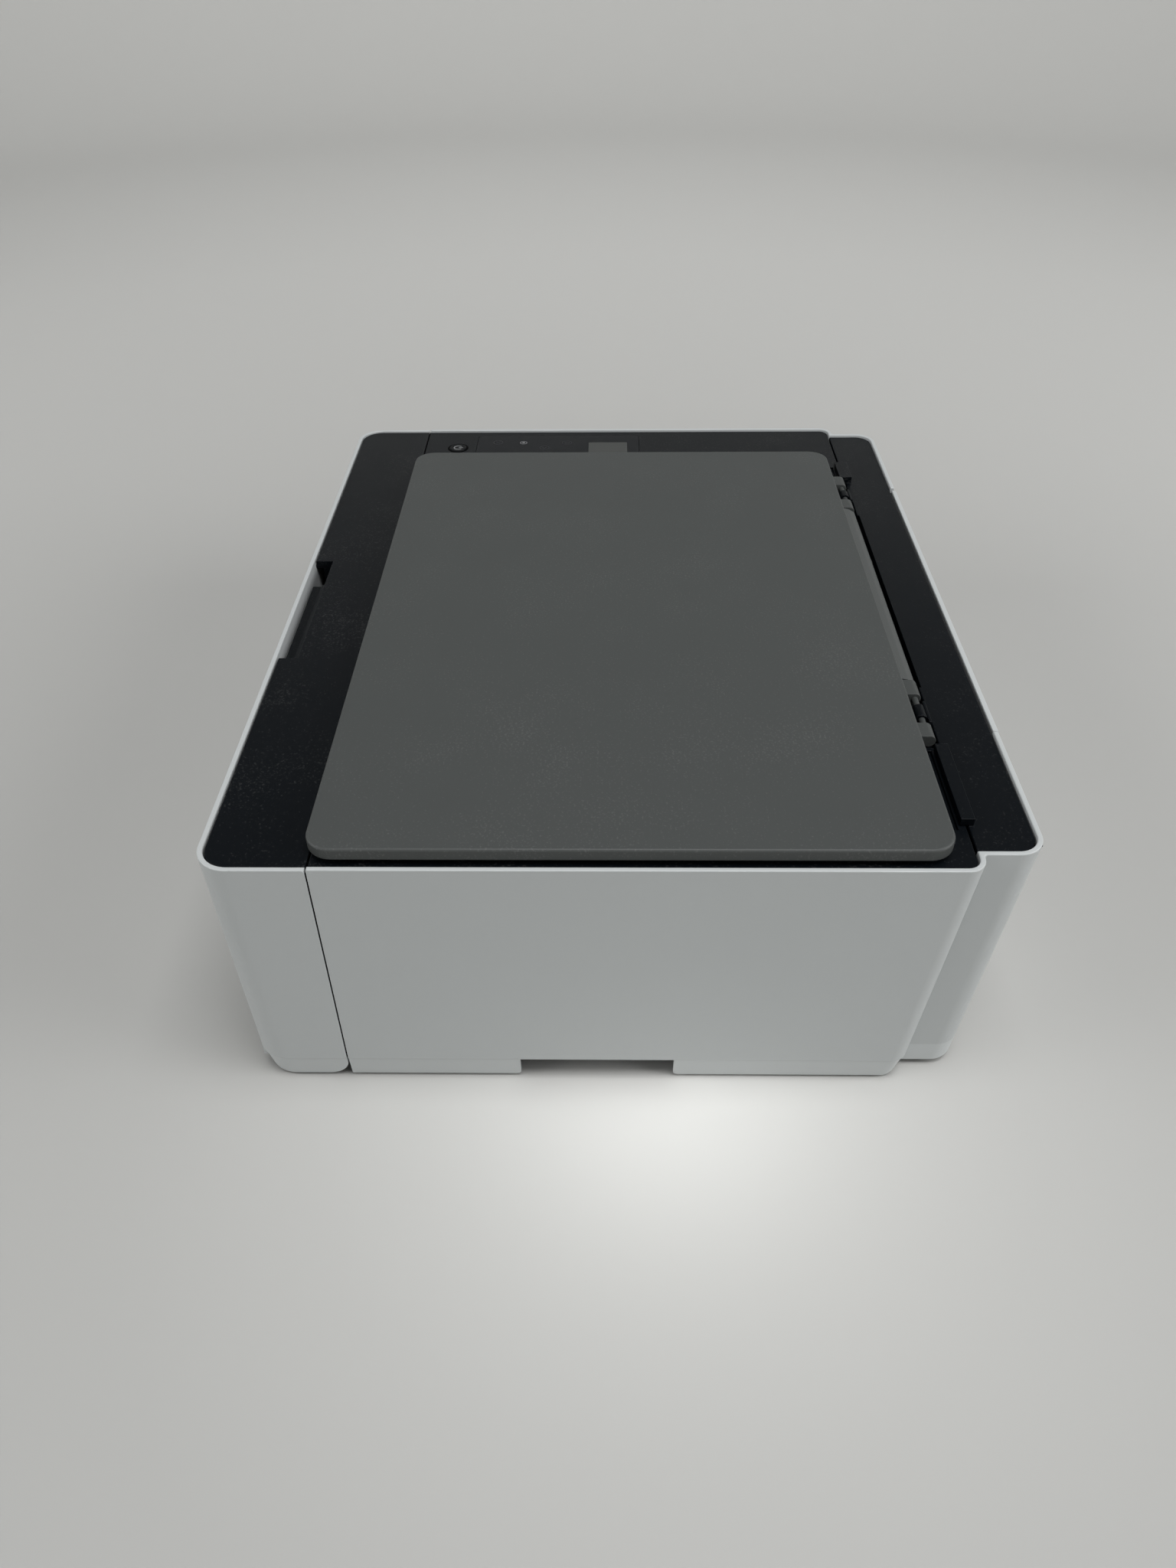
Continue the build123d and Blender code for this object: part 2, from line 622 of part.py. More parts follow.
with BuildPart() as rear_panel:
    on_rear(-rear_window_half + panel_gap, rear_window_half - panel_gap, rear_window_z0 + 0.4,
            rear_window_z1 - 0.4, 0, wall)
    block(-door_opening_half, door_opening_half, rear_y - 20, rear_y + 3, door_opening_z0, rim_z,
          Mode.SUBTRACT)
    block(-door_opening_half - 2.6, door_opening_half + 2.6, crossbar_y0, crossbar_y0 + crossbar_t,
          crossbar_z0, flange_bottom - slip)
    for side in (-1, 1):
        x_edge = side * door_opening_half
        x_out = side * (door_opening_half + 2.6)
        block(min(x_edge, x_out), max(x_edge, x_out), crossbar_y0, crossbar_y0 + 1.9, crossbar_z0,
              rear_window_z1 - 0.6)
        x_lug = side * (door_opening_half + 2.2)
        block(min(x_edge, x_lug), max(x_edge, x_lug), door_axis_y - 3, door_lug_y1, door_axis_z - 3,
              door_axis_z + 3)
        x_tip = side * (door_opening_half - 7.6)
        rod_x(min(x_tip, x_lug), max(x_tip, x_lug), door_axis_y, door_axis_z, door_pin_r)
    on_rear(inlet_x - inlet_w / 2 - panel_gap, inlet_x + inlet_w / 2 + panel_gap,
            inlet_z - inlet_h / 2 - panel_gap, inlet_z + inlet_h / 2 + panel_gap, 1, 4, Mode.SUBTRACT)
    on_rear(usb_x - usb_w / 2 - panel_gap, usb_x + usb_w / 2 + panel_gap, usb_z - usb_h / 2 - panel_gap,
            usb_z + usb_h / 2 + panel_gap, 1, 4, Mode.SUBTRACT)
    for row in range(vent_rows):
        z = vent_z0 + row * vent_pitch
        for x in (inlet_x, usb_x):
            on_rear(x - vent_half, x + vent_half, z, z + vent_height, 1, 4, Mode.SUBTRACT)
save(rear_panel, "rear_panel")

# Rear door to the paper turn, on pins near its foot
door_t = 2.2
door_top_z = rim_z - 1.0
door_lug_x0 = 101.2
door_lug_x1 = 105.0
with BuildPart() as rear_door:
    on_rear(-door_half, door_half, door_z0, door_top_z, door_proud, door_t - door_proud)
    for side in (-1, 1):
        x0 = min(side * door_lug_x0, side * door_lug_x1)
        x1 = max(side * door_lug_x0, side * door_lug_x1)
        rod_x(x0, x1, door_axis_y, door_axis_z, 3.0)
        block(x0, x1, door_axis_y, door_lug_y1, door_axis_z - 2, door_axis_z + 3)
        rod_x(x0, x1, door_axis_y, door_axis_z, door_pin_r + fit, Mode.SUBTRACT)
    for x in (-84.0, -56.0, -28.0, 0.0, 28.0, 56.0, 84.0):
        on_rear(x - 1, x + 1, 26, 98, 0, 6)
save(rear_door, "rear_door")

# Inlet and data socket
socket_depth = 13.0
with BuildPart() as power_inlet:
    on_rear(inlet_x - inlet_w / 2, inlet_x + inlet_w / 2, inlet_z - inlet_h / 2, inlet_z + inlet_h / 2, 0,
            socket_depth)
    on_rear(inlet_x - inlet_w / 2 - 2, inlet_x + inlet_w / 2 + 2, inlet_z - inlet_h / 2 - 1.5,
            inlet_z + inlet_h / 2 + 1.5, -wall - 0.1, wall + 2)
    on_rear(inlet_x - 8, inlet_x + 8, inlet_z - 4, inlet_z + 4, 1, 11, Mode.SUBTRACT)
    for x in (inlet_x - 3.8, inlet_x + 3.8):
        with BuildSketch(rear_plane.offset(-12)):
            with Locations((-x, inlet_z * slope)):
                Circle(1.2)
        extrude(amount=10)
save(power_inlet, "power_inlet")

with BuildPart() as usb_port:
    on_rear(usb_x - usb_w / 2, usb_x + usb_w / 2, usb_z - usb_h / 2, usb_z + usb_h / 2, 0, socket_depth)
    on_rear(usb_x - usb_w / 2 + 1, usb_x + usb_w / 2 - 1, usb_z - usb_h / 2 + 1, usb_z + usb_h / 2 - 1, 1, 10,
            Mode.SUBTRACT)
    on_rear(usb_x - 3, usb_x + 3, usb_z - 0.9, usb_z + 0.9, -1, 11)
save(usb_port, "usb_port")

# Lid
lid_lug_z1 = lid_axis_z + 2.6
near_lugs = ((77.8, 88.2), (107.6, 116.7))
far_lugs = ((-116.5, -106.2), (-89.1, -79.5))
lip_y0 = lid_y1 - 1.5
lip_y1 = lid_axis_y + 2.4
with BuildPart() as lid_cover:
    slab(lid_x0, lid_x1, lid_y0, lid_y1, lid_z0, lid_top, lid_corner_r, lid_corner_r)
    fillet(edges().filter_by(Plane.XY).group_by(Axis.Z)[-1], 1.6)
    fillet(edges().filter_by(Plane.XY).group_by(Axis.Z)[0], 0.7)
    slab(lid_x0 + lid_wall, lid_x1 - lid_wall, lid_y0 + lid_wall, lid_y1 - lid_wall, lid_z0 - 1,
         lid_top - lid_skin, lid_corner_r - lid_wall, lid_corner_r - lid_wall, Mode.SUBTRACT)
    for x0, x1 in near_lugs + far_lugs:
        block(x0, x1, lip_y0, lid_axis_y, lid_axis_z, lid_lug_z1)
        rod_x(x0, x1, lid_axis_y, lid_axis_z, 2.6)
    with BuildSketch(Plane.YZ.offset(lip_x0)):
        with BuildLine():
            Polyline((lip_y0, rim_z + 2.0), (lip_y0, rim_z + 3.8), (lid_axis_y - 0.6, rim_z + 2.6),
                     (lip_y1, rim_z + 0.8), (lip_y1, rim_z - 0.4), (lid_axis_y - 1.2, rim_z + 1.0),
                     close=True)
        make_face()
    extrude(amount=lip_x1 - lip_x0)
    for lugs in (near_lugs, far_lugs):
        rod_x(lugs[0][1], lugs[1][0], lid_axis_y, lid_axis_z, lid_rod_r)
save(lid_cover, "lid_cover")

with BuildPart() as lid_hinge_brackets:
    for x0, x1 in ((91.5, 105.6), (-103.4, -91.2)):
        block(x0, x1, lid_axis_y + 2.2, deck_rear_y, trough_floor_z + trough_wall, rim_z + 2.0)
        block(x0 + 3, x1 - 3, lid_axis_y - 2.4, lid_axis_y + 2.2, trough_floor_z + trough_wall, lid_axis_z)
        rod_x(x0 + 3, x1 - 3, lid_axis_y, lid_axis_z, 2.4)
        rod_x(x0 - 1, x1 + 1, lid_axis_y, lid_axis_z, lid_rod_r + fit, Mode.SUBTRACT)
save(lid_hinge_brackets, "lid_hinge_brackets")

with BuildPart() as lid_pad:
    slab(glass_x0 + 1, glass_x1 - 1, glass_y0 + 1, glass_y1 - 1, glass_top + slip, lid_top - lid_skin, 2, 2)
save(lid_pad, "lid_pad")

bumper_r = 2.2
with BuildPart() as lid_bumpers:
    for x, y in ((-130.0, lid_y0 + 4.8), (170.0, lid_y0 + 4.8), (-130.0, lid_y1 - 8)):
        rod_z(deck_top + slip, lid_top - lid_skin, x, y, bumper_r)
save(lid_bumpers, "lid_bumpers")

# Control strip pieces
with BuildPart() as touch_panel:
    slab(panel_x0, panel_x1, panel_y0, panel_y1, deck_top - panel_t, deck_top + 0.1, 3, 3)
    block(display_x0, display_x1, display_y0, display_y1, deck_top - 2, rim_z, Mode.SUBTRACT)
save(touch_panel, "touch_panel")

with BuildPart() as display_window:
    block(display_x0, display_x1, display_y0, display_y1, deck_top - panel_t, deck_top + 0.05)
save(display_window, "display_window")

with BuildPart() as power_button:
    rod_z(deck_bottom - 3.4, deck_top + 0.5, button_x, button_y, button_r)
    fillet(edges().group_by(Axis.Z)[-1], 0.6)
    rod_z(deck_bottom - 1.8, deck_bottom - slip, button_x, button_y, button_r + 1.3)
save(power_button, "power_button")

with BuildPart() as control_board:
    block(board_x0, board_x1, board_y0, board_y1, board_z, board_z + board_t)
    block(button_x - 3, button_x + 3, button_y - 3, button_y + 3, board_z + board_t,
          deck_bottom - 3.4 - button_travel - 0.2)
    block(display_x0 + 1.4, display_x1 - 1.4, display_y0 + 1.4, display_y1 - 1.4, board_z + board_t,
          deck_top - panel_t)
save(control_board, "control_board")

# Scanner tub, rod, sensor bar and its drive
rod_end_t = 5.0
scan_motor_x = -134.0
scan_belt_y = -60.0
scan_pulley_r = 4.0
scan_idler_x = 179.5
scan_belt_z0 = tub_z0 + 5.6
scan_belt_z1 = scan_belt_z0 + 3.0
scan_idler_r = scan_pulley_r - 0.1
scan_motor_r = 8.6
scan_motor_top = tub_z0 + 5.0
scan_shaft_r = 1.0
with BuildPart() as scanner_tub:
    slab(tub_x0, tub_x1, tub_y0, tub_y1, tub_z0, glass_top - glass_t - 0.1, 2, 2)
    slab(tub_x0 + tub_wall, tub_x1 - tub_wall, tub_y0 + tub_wall, tub_y1 - tub_wall, tub_floor_z, rim_z, 1, 1,
         Mode.SUBTRACT)
    for x0, x1 in ((tub_x0 + tub_wall, tub_x0 + tub_wall + rod_end_t), (tub_x1 - tub_wall - rod_end_t + 2,
                                                                       tub_x1 - tub_wall)):
        block(x0, x1, scan_rod_y - 6, scan_rod_y + 6, tub_floor_z, scan_rod_z + 5)
        rod_x(x0 - 0.5, x1 + 0.5, scan_rod_y, scan_rod_z, scan_rod_r, Mode.SUBTRACT)
    motor_hole = scan_motor_r + 0.4
    block(scan_motor_x - motor_hole, scan_motor_x + motor_hole, scan_belt_y - motor_hole,
          scan_belt_y + motor_hole, tub_z0, tub_floor_z, Mode.SUBTRACT)
    rod_z(tub_floor_z, scan_belt_z1 + 0.4, scan_idler_x, scan_belt_y, scan_idler_r)
save(scanner_tub, "scanner_tub")

with BuildPart() as scan_rod:
    rod_x(tub_x0 + tub_wall, tub_x1 - tub_wall, scan_rod_y, scan_rod_z, scan_rod_r)
save(scan_rod, "scan_rod")

bar_half = 8.0
bar_z0 = tub_z0 + 10.5
bar_z1 = glass_top - glass_t - 0.7
with BuildPart() as scan_bar:
    block(scan_home_x - bar_half, scan_home_x + bar_half, tub_y0 + tub_wall + 1, tub_y1 - tub_wall - 1,
          bar_z0, bar_z1)
    block(scan_home_x - bar_half, scan_home_x + bar_half, scan_rod_y - 9, scan_rod_y + 9, tub_z0 + 2.5,
          bar_z0)
    rod_x(scan_home_x - bar_half - 1, scan_home_x + bar_half + 1, scan_rod_y, scan_rod_z, scan_rod_r + fit,
          Mode.SUBTRACT)
    for y in (scan_belt_y + 2.2, scan_belt_y + 5.6):
        block(scan_home_x + 4, scan_home_x + bar_half, y, y + 1.2, scan_belt_z0, bar_z0)
save(scan_bar, "scan_bar")

with BuildPart() as scan_motor:
    rod_z(tub_z0, scan_motor_top, scan_motor_x, scan_belt_y, scan_motor_r)
    rod_z(scan_motor_top, scan_belt_z1 + 0.6, scan_motor_x, scan_belt_y, scan_shaft_r)
save(scan_motor, "scan_motor")

with BuildPart() as scan_pulley:
    rod_z(scan_belt_z0 - 0.2, scan_belt_z1 + 0.2, scan_motor_x, scan_belt_y, scan_pulley_r - 0.08)
    rod_z(scan_belt_z0 - 1, scan_belt_z1 + 1, scan_motor_x, scan_belt_y, scan_shaft_r + fit, Mode.SUBTRACT)
save(scan_pulley, "scan_pulley")


def belt_loop(plane, first, second, r, thickness, belt_width):
    """Closed flat belt round two equal pulleys, drawn in a plane that holds both centres."""
    middle = ((first[0] + second[0]) / 2, (first[1] + second[1]) / 2)
    span = abs(second[0] - first[0])
    with BuildSketch(plane) as outline:
        with Locations(middle):
            SlotCenterToCenter(span, 2 * (r + thickness))
            SlotCenterToCenter(span, 2 * r, mode=Mode.SUBTRACT)
    extrude(outline.sketch, amount=belt_width)


with BuildPart() as scan_belt:
    belt_loop(Plane.XY.offset(scan_belt_z0), (scan_motor_x, scan_belt_y), (scan_idler_x, scan_belt_y),
              scan_pulley_r, 0.8, scan_belt_z1 - scan_belt_z0)
save(scan_belt, "scan_belt")

# Engine frames
gear_x0 = left_frame_x - 1.0 - gear_face
idler_drop = sqrt((gear_module * (roller_teeth + idler_teeth) / 2) ** 2 - ((feed_y - output_y) / 2) ** 2)
idler_y = (feed_y + output_y) / 2
idler_z = roller_z - idler_drop
pinion_reach = gear_module * (roller_teeth + pinion_teeth) / 2
pinion_y = feed_y + pinion_reach * cos(radians(pinion_direction_deg))
pinion_z = roller_z + pinion_reach * sin(radians(pinion_direction_deg))
pinch_z = paper_line_z + paper_gap + pinch_r
star_z = paper_line_z + paper_gap + star_r
idler_stud_r = 2.5
small_shaft_r = 1.2
with BuildPart() as left_frame:
    block(left_frame_x, left_frame_x + frame_t, frame_y0, frame_y1, floor_top, frame_top)
    block(left_frame_x - 6, left_frame_x, frame_y0, frame_y1, floor_top, floor_top + 1.4)
    for y in (feed_y, output_y):
        rod_x(left_frame_x - 1, left_frame_x + frame_t + 1, y, roller_z, shaft_r + fit, Mode.SUBTRACT)
    for y, z in ((feed_y, pinch_z), (output_y, star_z)):
        rod_x(left_frame_x - 1, left_frame_x + frame_t + 1, y, z, small_shaft_r + fit, Mode.SUBTRACT)
    rod_x(left_frame_x - 1, left_frame_x + frame_t + 1, pinion_y, pinion_z, 3.0, Mode.SUBTRACT)
    rod_x(gear_x0 - 1, left_frame_x, idler_y, idler_z, idler_stud_r)
    block(left_frame_x - 1, left_frame_x + 3, rail_y, rail_y + rail_t, 50, frame_top + 1, Mode.SUBTRACT)
save(left_frame, "left_frame")

with BuildPart() as right_frame:
    block(right_frame_x, right_frame_x + frame_t, frame_y0, frame_y1, floor_top, frame_top)
    block(right_frame_x - 8, right_frame_x, frame_y0, frame_y1, floor_top, floor_top + 1.4)
    block(right_frame_x - 1, right_frame_x + 3, rail_y, rail_y + rail_t, 50, frame_top + 1, Mode.SUBTRACT)
    block(right_frame_x - 9, right_frame_x + 3, grip_y0 - 4, grip_y1 + 4, floor_z, band_top_z + 3.5,
          Mode.SUBTRACT)
save(right_frame, "right_frame")

# Rollers and their gears
roller_x0 = -110.0
roller_x1 = 110.0
shaft_x0 = gear_x0 - 0.4
shaft_x1 = middle_frame_x + frame_t + 1
feed_phase = pinion_direction_deg
pinion_phase = mesh_phase(feed_phase, roller_teeth, pinion_direction_deg, pinion_teeth)
idler_direction = degrees(atan2(idler_z - roller_z, idler_y - feed_y))
idler_phase = mesh_phase(feed_phase, roller_teeth, idler_direction, idler_teeth)
output_direction = degrees(atan2(roller_z - idler_z, output_y - idler_y))
output_phase = mesh_phase(idler_phase, idler_teeth, output_direction, roller_teeth)


def driven_roller(y):
    """Steel shaft with its grip sleeve."""
    rod_x(shaft_x0, shaft_x1, y, roller_z, shaft_r)
    rod_x(roller_x0, roller_x1, y, roller_z, roller_r)


def roller_gear(y, phase_deg):
    """Roller gear with five lightening holes."""
    extrude(gear_outline(roller_teeth, phase_deg, y, roller_z, gear_x0), amount=gear_face)
    rod_x(gear_x0 - 1, gear_x0 + gear_face + 1, y, roller_z, shaft_r, Mode.SUBTRACT)
    for hole in range(5):
        angle = radians(72 * hole)
        rod_x(gear_x0 - 1, gear_x0 + gear_face + 1, y + 11 * cos(angle), roller_z + 11 * sin(angle), 3.2,
              Mode.SUBTRACT)


with BuildPart() as feed_roller:
    driven_roller(feed_y)
save(feed_roller, "feed_roller")

with BuildPart() as feed_gear:
    roller_gear(feed_y, feed_phase)
save(feed_gear, "feed_gear")

with BuildPart() as output_roller:
    driven_roller(output_y)
save(output_roller, "output_roller")

with BuildPart() as output_gear:
    roller_gear(output_y, output_phase)
save(output_gear, "output_gear")

with BuildPart() as idler_gear:
    extrude(gear_outline(idler_teeth, idler_phase, idler_y, idler_z, gear_x0), amount=gear_face)
    rod_x(gear_x0 - 1, gear_x0 + gear_face + 1, idler_y, idler_z, idler_stud_r + fit, Mode.SUBTRACT)
save(idler_gear, "idler_gear")

motor_shaft_r = 1.0
with BuildPart() as motor_pinion:
    extrude(gear_outline(pinion_teeth, pinion_phase, pinion_y, pinion_z, gear_x0), amount=gear_face)
    rod_x(gear_x0 - 1, gear_x0 + gear_face + 1, pinion_y, pinion_z, motor_shaft_r + fit, Mode.SUBTRACT)
save(motor_pinion, "motor_pinion")

with BuildPart() as feed_motor:
    rod_x(left_frame_x + frame_t, left_frame_x + frame_t + 26, pinion_y, pinion_z, 11)
    rod_x(left_frame_x - 0.6, left_frame_x + frame_t, pinion_y, pinion_z, 2.6)
    rod_x(gear_x0 - 0.6, left_frame_x, pinion_y, pinion_z, motor_shaft_r)
save(feed_motor, "feed_motor")

# Pinch rollers over the feed roller and star wheels over the output roller
pinch_xs = (-90.0, -30.0, 30.0, 90.0)
finger_xs = (-108.0, -60.0, 0.0, 60.0, 108.0)
beam_x0 = left_frame_x + frame_t
beam_x1 = middle_frame_x
with BuildPart() as pinch_rollers:
    rod_x(left_frame_x, middle_frame_x + frame_t, feed_y, pinch_z, small_shaft_r)
    for x in pinch_xs:
        rod_x(x - 16, x + 16, feed_y, pinch_z, pinch_r)
save(pinch_rollers, "pinch_rollers")

with BuildPart() as star_wheels:
    rod_x(left_frame_x, middle_frame_x + frame_t, output_y, star_z, small_shaft_r)
    for x in pinch_xs:
        for shift in (-12, 0, 12):
            points = []
            for tooth in range(24):
                radius = star_r if tooth % 2 == 0 else star_r - 0.8
                angle = radians(15 * tooth)
                points.append((output_y + radius * cos(angle), star_z + radius * sin(angle)))
            with BuildSketch(Plane.YZ.offset(x + shift - 0.5)):
                with BuildLine():
                    Polyline(*points, close=True)
                make_face()
            extrude(amount=1.0)
save(star_wheels, "star_wheels")

with BuildPart() as roller_beams:
    block(beam_x0, beam_x1, 24, 28, 44, 51.4)
    block(beam_x0, beam_x1, -38, -34, 44, 51.4)
    for x in finger_xs:
        block(x - 2, x + 2, feed_y - 2.4, 24, pinch_z - 2.2, 51.0)
        rod_x(x - 3, x + 3, feed_y, pinch_z, small_shaft_r + fit, Mode.SUBTRACT)
        block(x - 2, x + 2, -34, output_y + 2.4, star_z - 2.2, 51.0)
        rod_x(x - 3, x + 3, output_y, star_z, small_shaft_r + fit, Mode.SUBTRACT)
save(roller_beams, "roller_beams")

with BuildPart() as platen:
    block(-112.0, 112.0, -19.0, 9.0, 28.0, paper_line_z - 2)
    for index in range(15):
        x = -105 + index * 15
        block(x - 0.8, x + 0.8, -19.0, 9.0, paper_line_z - 2, paper_line_z - 0.4)
    for x in (-112.0, 108.0):
        block(x, x + 4, -13.0, 3.0, 30.0, 33.0)
    block(beam_x0, -112.0, -3.0, 3.0, 33.0, 37.0)
    block(112.0, middle_frame_x, -3.0, 3.0, 33.0, 37.0)
    block(middle_frame_x, middle_frame_x + frame_t, -40, 30, floor_top, paper_line_z + 1)
    block(middle_frame_x, middle_frame_x + frame_t, -40, -22, floor_top, 51.4)
    block(middle_frame_x, middle_frame_x + frame_t, 12, 30, floor_top, 51.4)
    for y in (feed_y, output_y):
        rod_x(middle_frame_x - 1, middle_frame_x + frame_t + 1, y, roller_z, shaft_r + fit, Mode.SUBTRACT)
    for y, z in ((feed_y, pinch_z), (output_y, star_z)):
        rod_x(middle_frame_x - 1, middle_frame_x + frame_t + 1, y, z, small_shaft_r + fit, Mode.SUBTRACT)
save(platen, "platen")

# Carriage, its rail and its belt drive
carriage_y0 = -44.0
carriage_y1 = 38.0
cartridge_w = 24.0
cartridge_gap = 0.4
with BuildPart() as carriage:
    block(carriage_x - carriage_half, carriage_x + carriage_half, carriage_y0, carriage_y1, carriage_z0, 76.0)
    for side in (-1, 1):
        centre = carriage_x + side * (cartridge_w / 2 + 1)
        block(centre - cartridge_w / 2 - cartridge_gap, centre + cartridge_w / 2 + cartridge_gap,
              carriage_y0 + 3, 26.0, carriage_z0 + 2, 90.0, Mode.SUBTRACT)
        block(centre - cartridge_w / 2 + 3, centre + cartridge_w / 2 - 3, -17.0, 9.0, carriage_z0 - 1, 60.0,
              Mode.SUBTRACT)
    block(carriage_x - carriage_half, carriage_x + carriage_half, 28.0, carriage_y1, 70.0, carriage_top_z)
    block(carriage_x - carriage_half, carriage_x + carriage_half, carriage_y1 - 2, rail_y + rail_t + 2.4,
          carriage_top_z, carriage_top_z + 2)
    block(carriage_x - carriage_half, carriage_x + carriage_half, rail_y + rail_t + 0.4,
          rail_y + rail_t + 2.4, 84.0, carriage_top_z + 2)
    fork_x = carriage_x - 10
    for z0 in (belt_z + belt_r - 2.0, belt_z + belt_r + belt_t + 0.4):
        block(fork_x - 5, fork_x + 5, carriage_y1, belt_y0 + belt_w, z0, z0 + 1.6)
save(carriage, "carriage")


def cartridge(centre):
    """Ink cartridge with its nozzle nose."""
    block(centre - cartridge_w / 2, centre + cartridge_w / 2, carriage_y0 + 3.4, 25.6, carriage_z0 + 2.0,
          86.0)
    block(centre - cartridge_w / 2 + 3.4, centre + cartridge_w / 2 - 3.4, -16.6, 8.6, paper_line_z + 1.6,
          carriage_z0 + 2.0)


with BuildPart() as black_cartridge:
    cartridge(carriage_x + cartridge_w / 2 + 1)
save(black_cartridge, "black_cartridge")

with BuildPart() as colour_cartridge:
    cartridge(carriage_x - cartridge_w / 2 - 1)
save(colour_cartridge, "colour_cartridge")

motor_x = 166.0
idler_pulley_x = -152.0
with BuildPart() as carriage_rail:
    block(left_frame_x, right_frame_x + frame_t, rail_y, rail_y + rail_t, 50.0, rail_top_z)
    block(-150.0, 150.0, rail_y + rail_t, rail_y + 9.0, 50.0, 51.6)
    rod_y(rail_y - 1, rail_y + 3, motor_x, belt_z, 3.2, Mode.SUBTRACT)
    rod_y(belt_y0 - 0.6, rail_y, idler_pulley_x, belt_z, 1.5)
save(carriage_rail, "carriage_rail")

with BuildPart() as carriage_motor:
    rod_y(rail_y + rail_t, rail_y + rail_t + 24, motor_x, belt_z, 12.0)
    rod_y(rail_y - 0.6, rail_y + rail_t, motor_x, belt_z, 2.8)
    rod_y(belt_y0 - 0.6, rail_y, motor_x, belt_z, motor_shaft_r)
save(carriage_motor, "carriage_motor")

with BuildPart() as motor_pulley:
    rod_y(belt_y0 - 0.4, belt_y0 + belt_w + 0.6, motor_x, belt_z, belt_r - 0.08)
    rod_y(belt_y0 - 1, belt_y0 + belt_w + 1, motor_x, belt_z, motor_shaft_r + fit, Mode.SUBTRACT)
save(motor_pulley, "motor_pulley")

with BuildPart() as idler_pulley:
    rod_y(belt_y0 - 0.4, belt_y0 + belt_w + 0.6, idler_pulley_x, belt_z, belt_r - 0.08)
    rod_y(belt_y0 - 1, belt_y0 + belt_w + 1, idler_pulley_x, belt_z, 1.5 + fit, Mode.SUBTRACT)
save(idler_pulley, "idler_pulley")

belt_plane = Plane(origin=(0, belt_y0, 0), x_dir=(1, 0, 0), z_dir=(0, 1, 0))
with BuildPart() as carriage_belt:
    belt_loop(belt_plane, (idler_pulley_x, -belt_z), (motor_x, -belt_z), belt_r, belt_t, belt_w)
save(carriage_belt, "carriage_belt")

with BuildPart() as service_station:
    block(121.5, 171.0, -36.0, 28.0, floor_top, 38.0)
    block(124.0, 168.5, -30.0, 22.0, 20.0, 39.0, Mode.SUBTRACT)
    block(124.0, 168.5, 16.0, 22.0, 16.0, 40.0)
    for side in (-1, 1):
        centre = carriage_x + side * (cartridge_w / 2 + 1)
        block(centre - 9, centre + 9, -18.0, 10.0, 20.0, paper_line_z)
        block(centre - 7.5, centre + 7.5, -16.5, 8.5, paper_line_z - 3, paper_line_z + 1, Mode.SUBTRACT)
save(service_station, "service_station")

# Paper trays
tray_top = floor_top + 3.2
tray_front_y = main_front_y + 5.6
guide_front_y = tray_front_y + 7.0
extension_front_y = main_front_y + 6.6
arm_axis_y = 72.0
arm_axis_z = 30.0
arm_shaft_r = 2.5
pick_y = 44.0
pick_r = 8.0
pick_z = tray_top + slip + pick_r
pick_half = 14.0
with BuildPart() as input_tray:
    block(-112.0, 112.0, tray_front_y, 96.0, tray_top - 1.6, tray_top)
    for x in (-100.0, -50.0, 0.0, 50.0, 100.0):
        block(x - 1, x + 1, tray_front_y, 96.0, floor_top, tray_top - 1.6)
    with BuildSketch(Plane.YZ.offset(-106.0)):
        with BuildLine():
            Line((96, tray_top - 1.6), (96, tray_top))
            RadiusArc((96, tray_top), (118, tray_top + 22), -22)
            Line((118, tray_top + 22), (119.6, tray_top + 22))
            RadiusArc((119.6, tray_top + 22), (96, tray_top - 1.6), 23.6)
        make_face()
    extrude(amount=212.0)
    for x0 in (-34.0, 30.0):
        block(x0, x0 + 4, arm_axis_y - 5, arm_axis_y + 5, tray_top - 1, arm_axis_z + 5)
    rod_x(-34.0, 34.0, arm_axis_y, arm_axis_z, arm_shaft_r)
save(input_tray, "input_tray")

guide_wall = 2.0
guide_x = 109.8
guide_top = 25.0
for name, side in (("left_width_guide", -1), ("right_width_guide", 1)):
    with BuildPart() as width_guide:
        inner = side * (guide_x - guide_wall)
        outer = side * guide_x
        foot = side * (guide_x - 22)
        block(min(inner, outer), max(inner, outer), guide_front_y, -28.0, tray_top + slip, guide_top)
        block(min(foot, outer), max(foot, outer), guide_front_y + 6, -60.0, tray_top + slip,
              tray_top + slip + 1.4)
    save(width_guide, name)

with BuildPart() as output_tray:
    block(-116.0, 116.0, main_front_y + 4, -42.0, 28.6, 30.4)
    for side in (-1, 1):
        x0 = min(side * 114.2, side * 116.0)
        block(x0, x0 + 1.8, main_front_y + 4, -42.0, floor_top, 36.0)
    for x in (-80.0, -66.0, 64.0, 78.0):
        block(x, x + 2, main_front_y + 4, -42.0, 30.4, 31.4)
save(output_tray, "output_tray")

with BuildPart() as output_extension:
    slab(-56.0, 56.0, extension_front_y, -46.0, 30.4 + slip, 32.2, 8, 0)
    block(-14.0, 14.0, extension_front_y + 1, extension_front_y + 5, 32.2, 34.6)
save(output_extension, "output_extension")

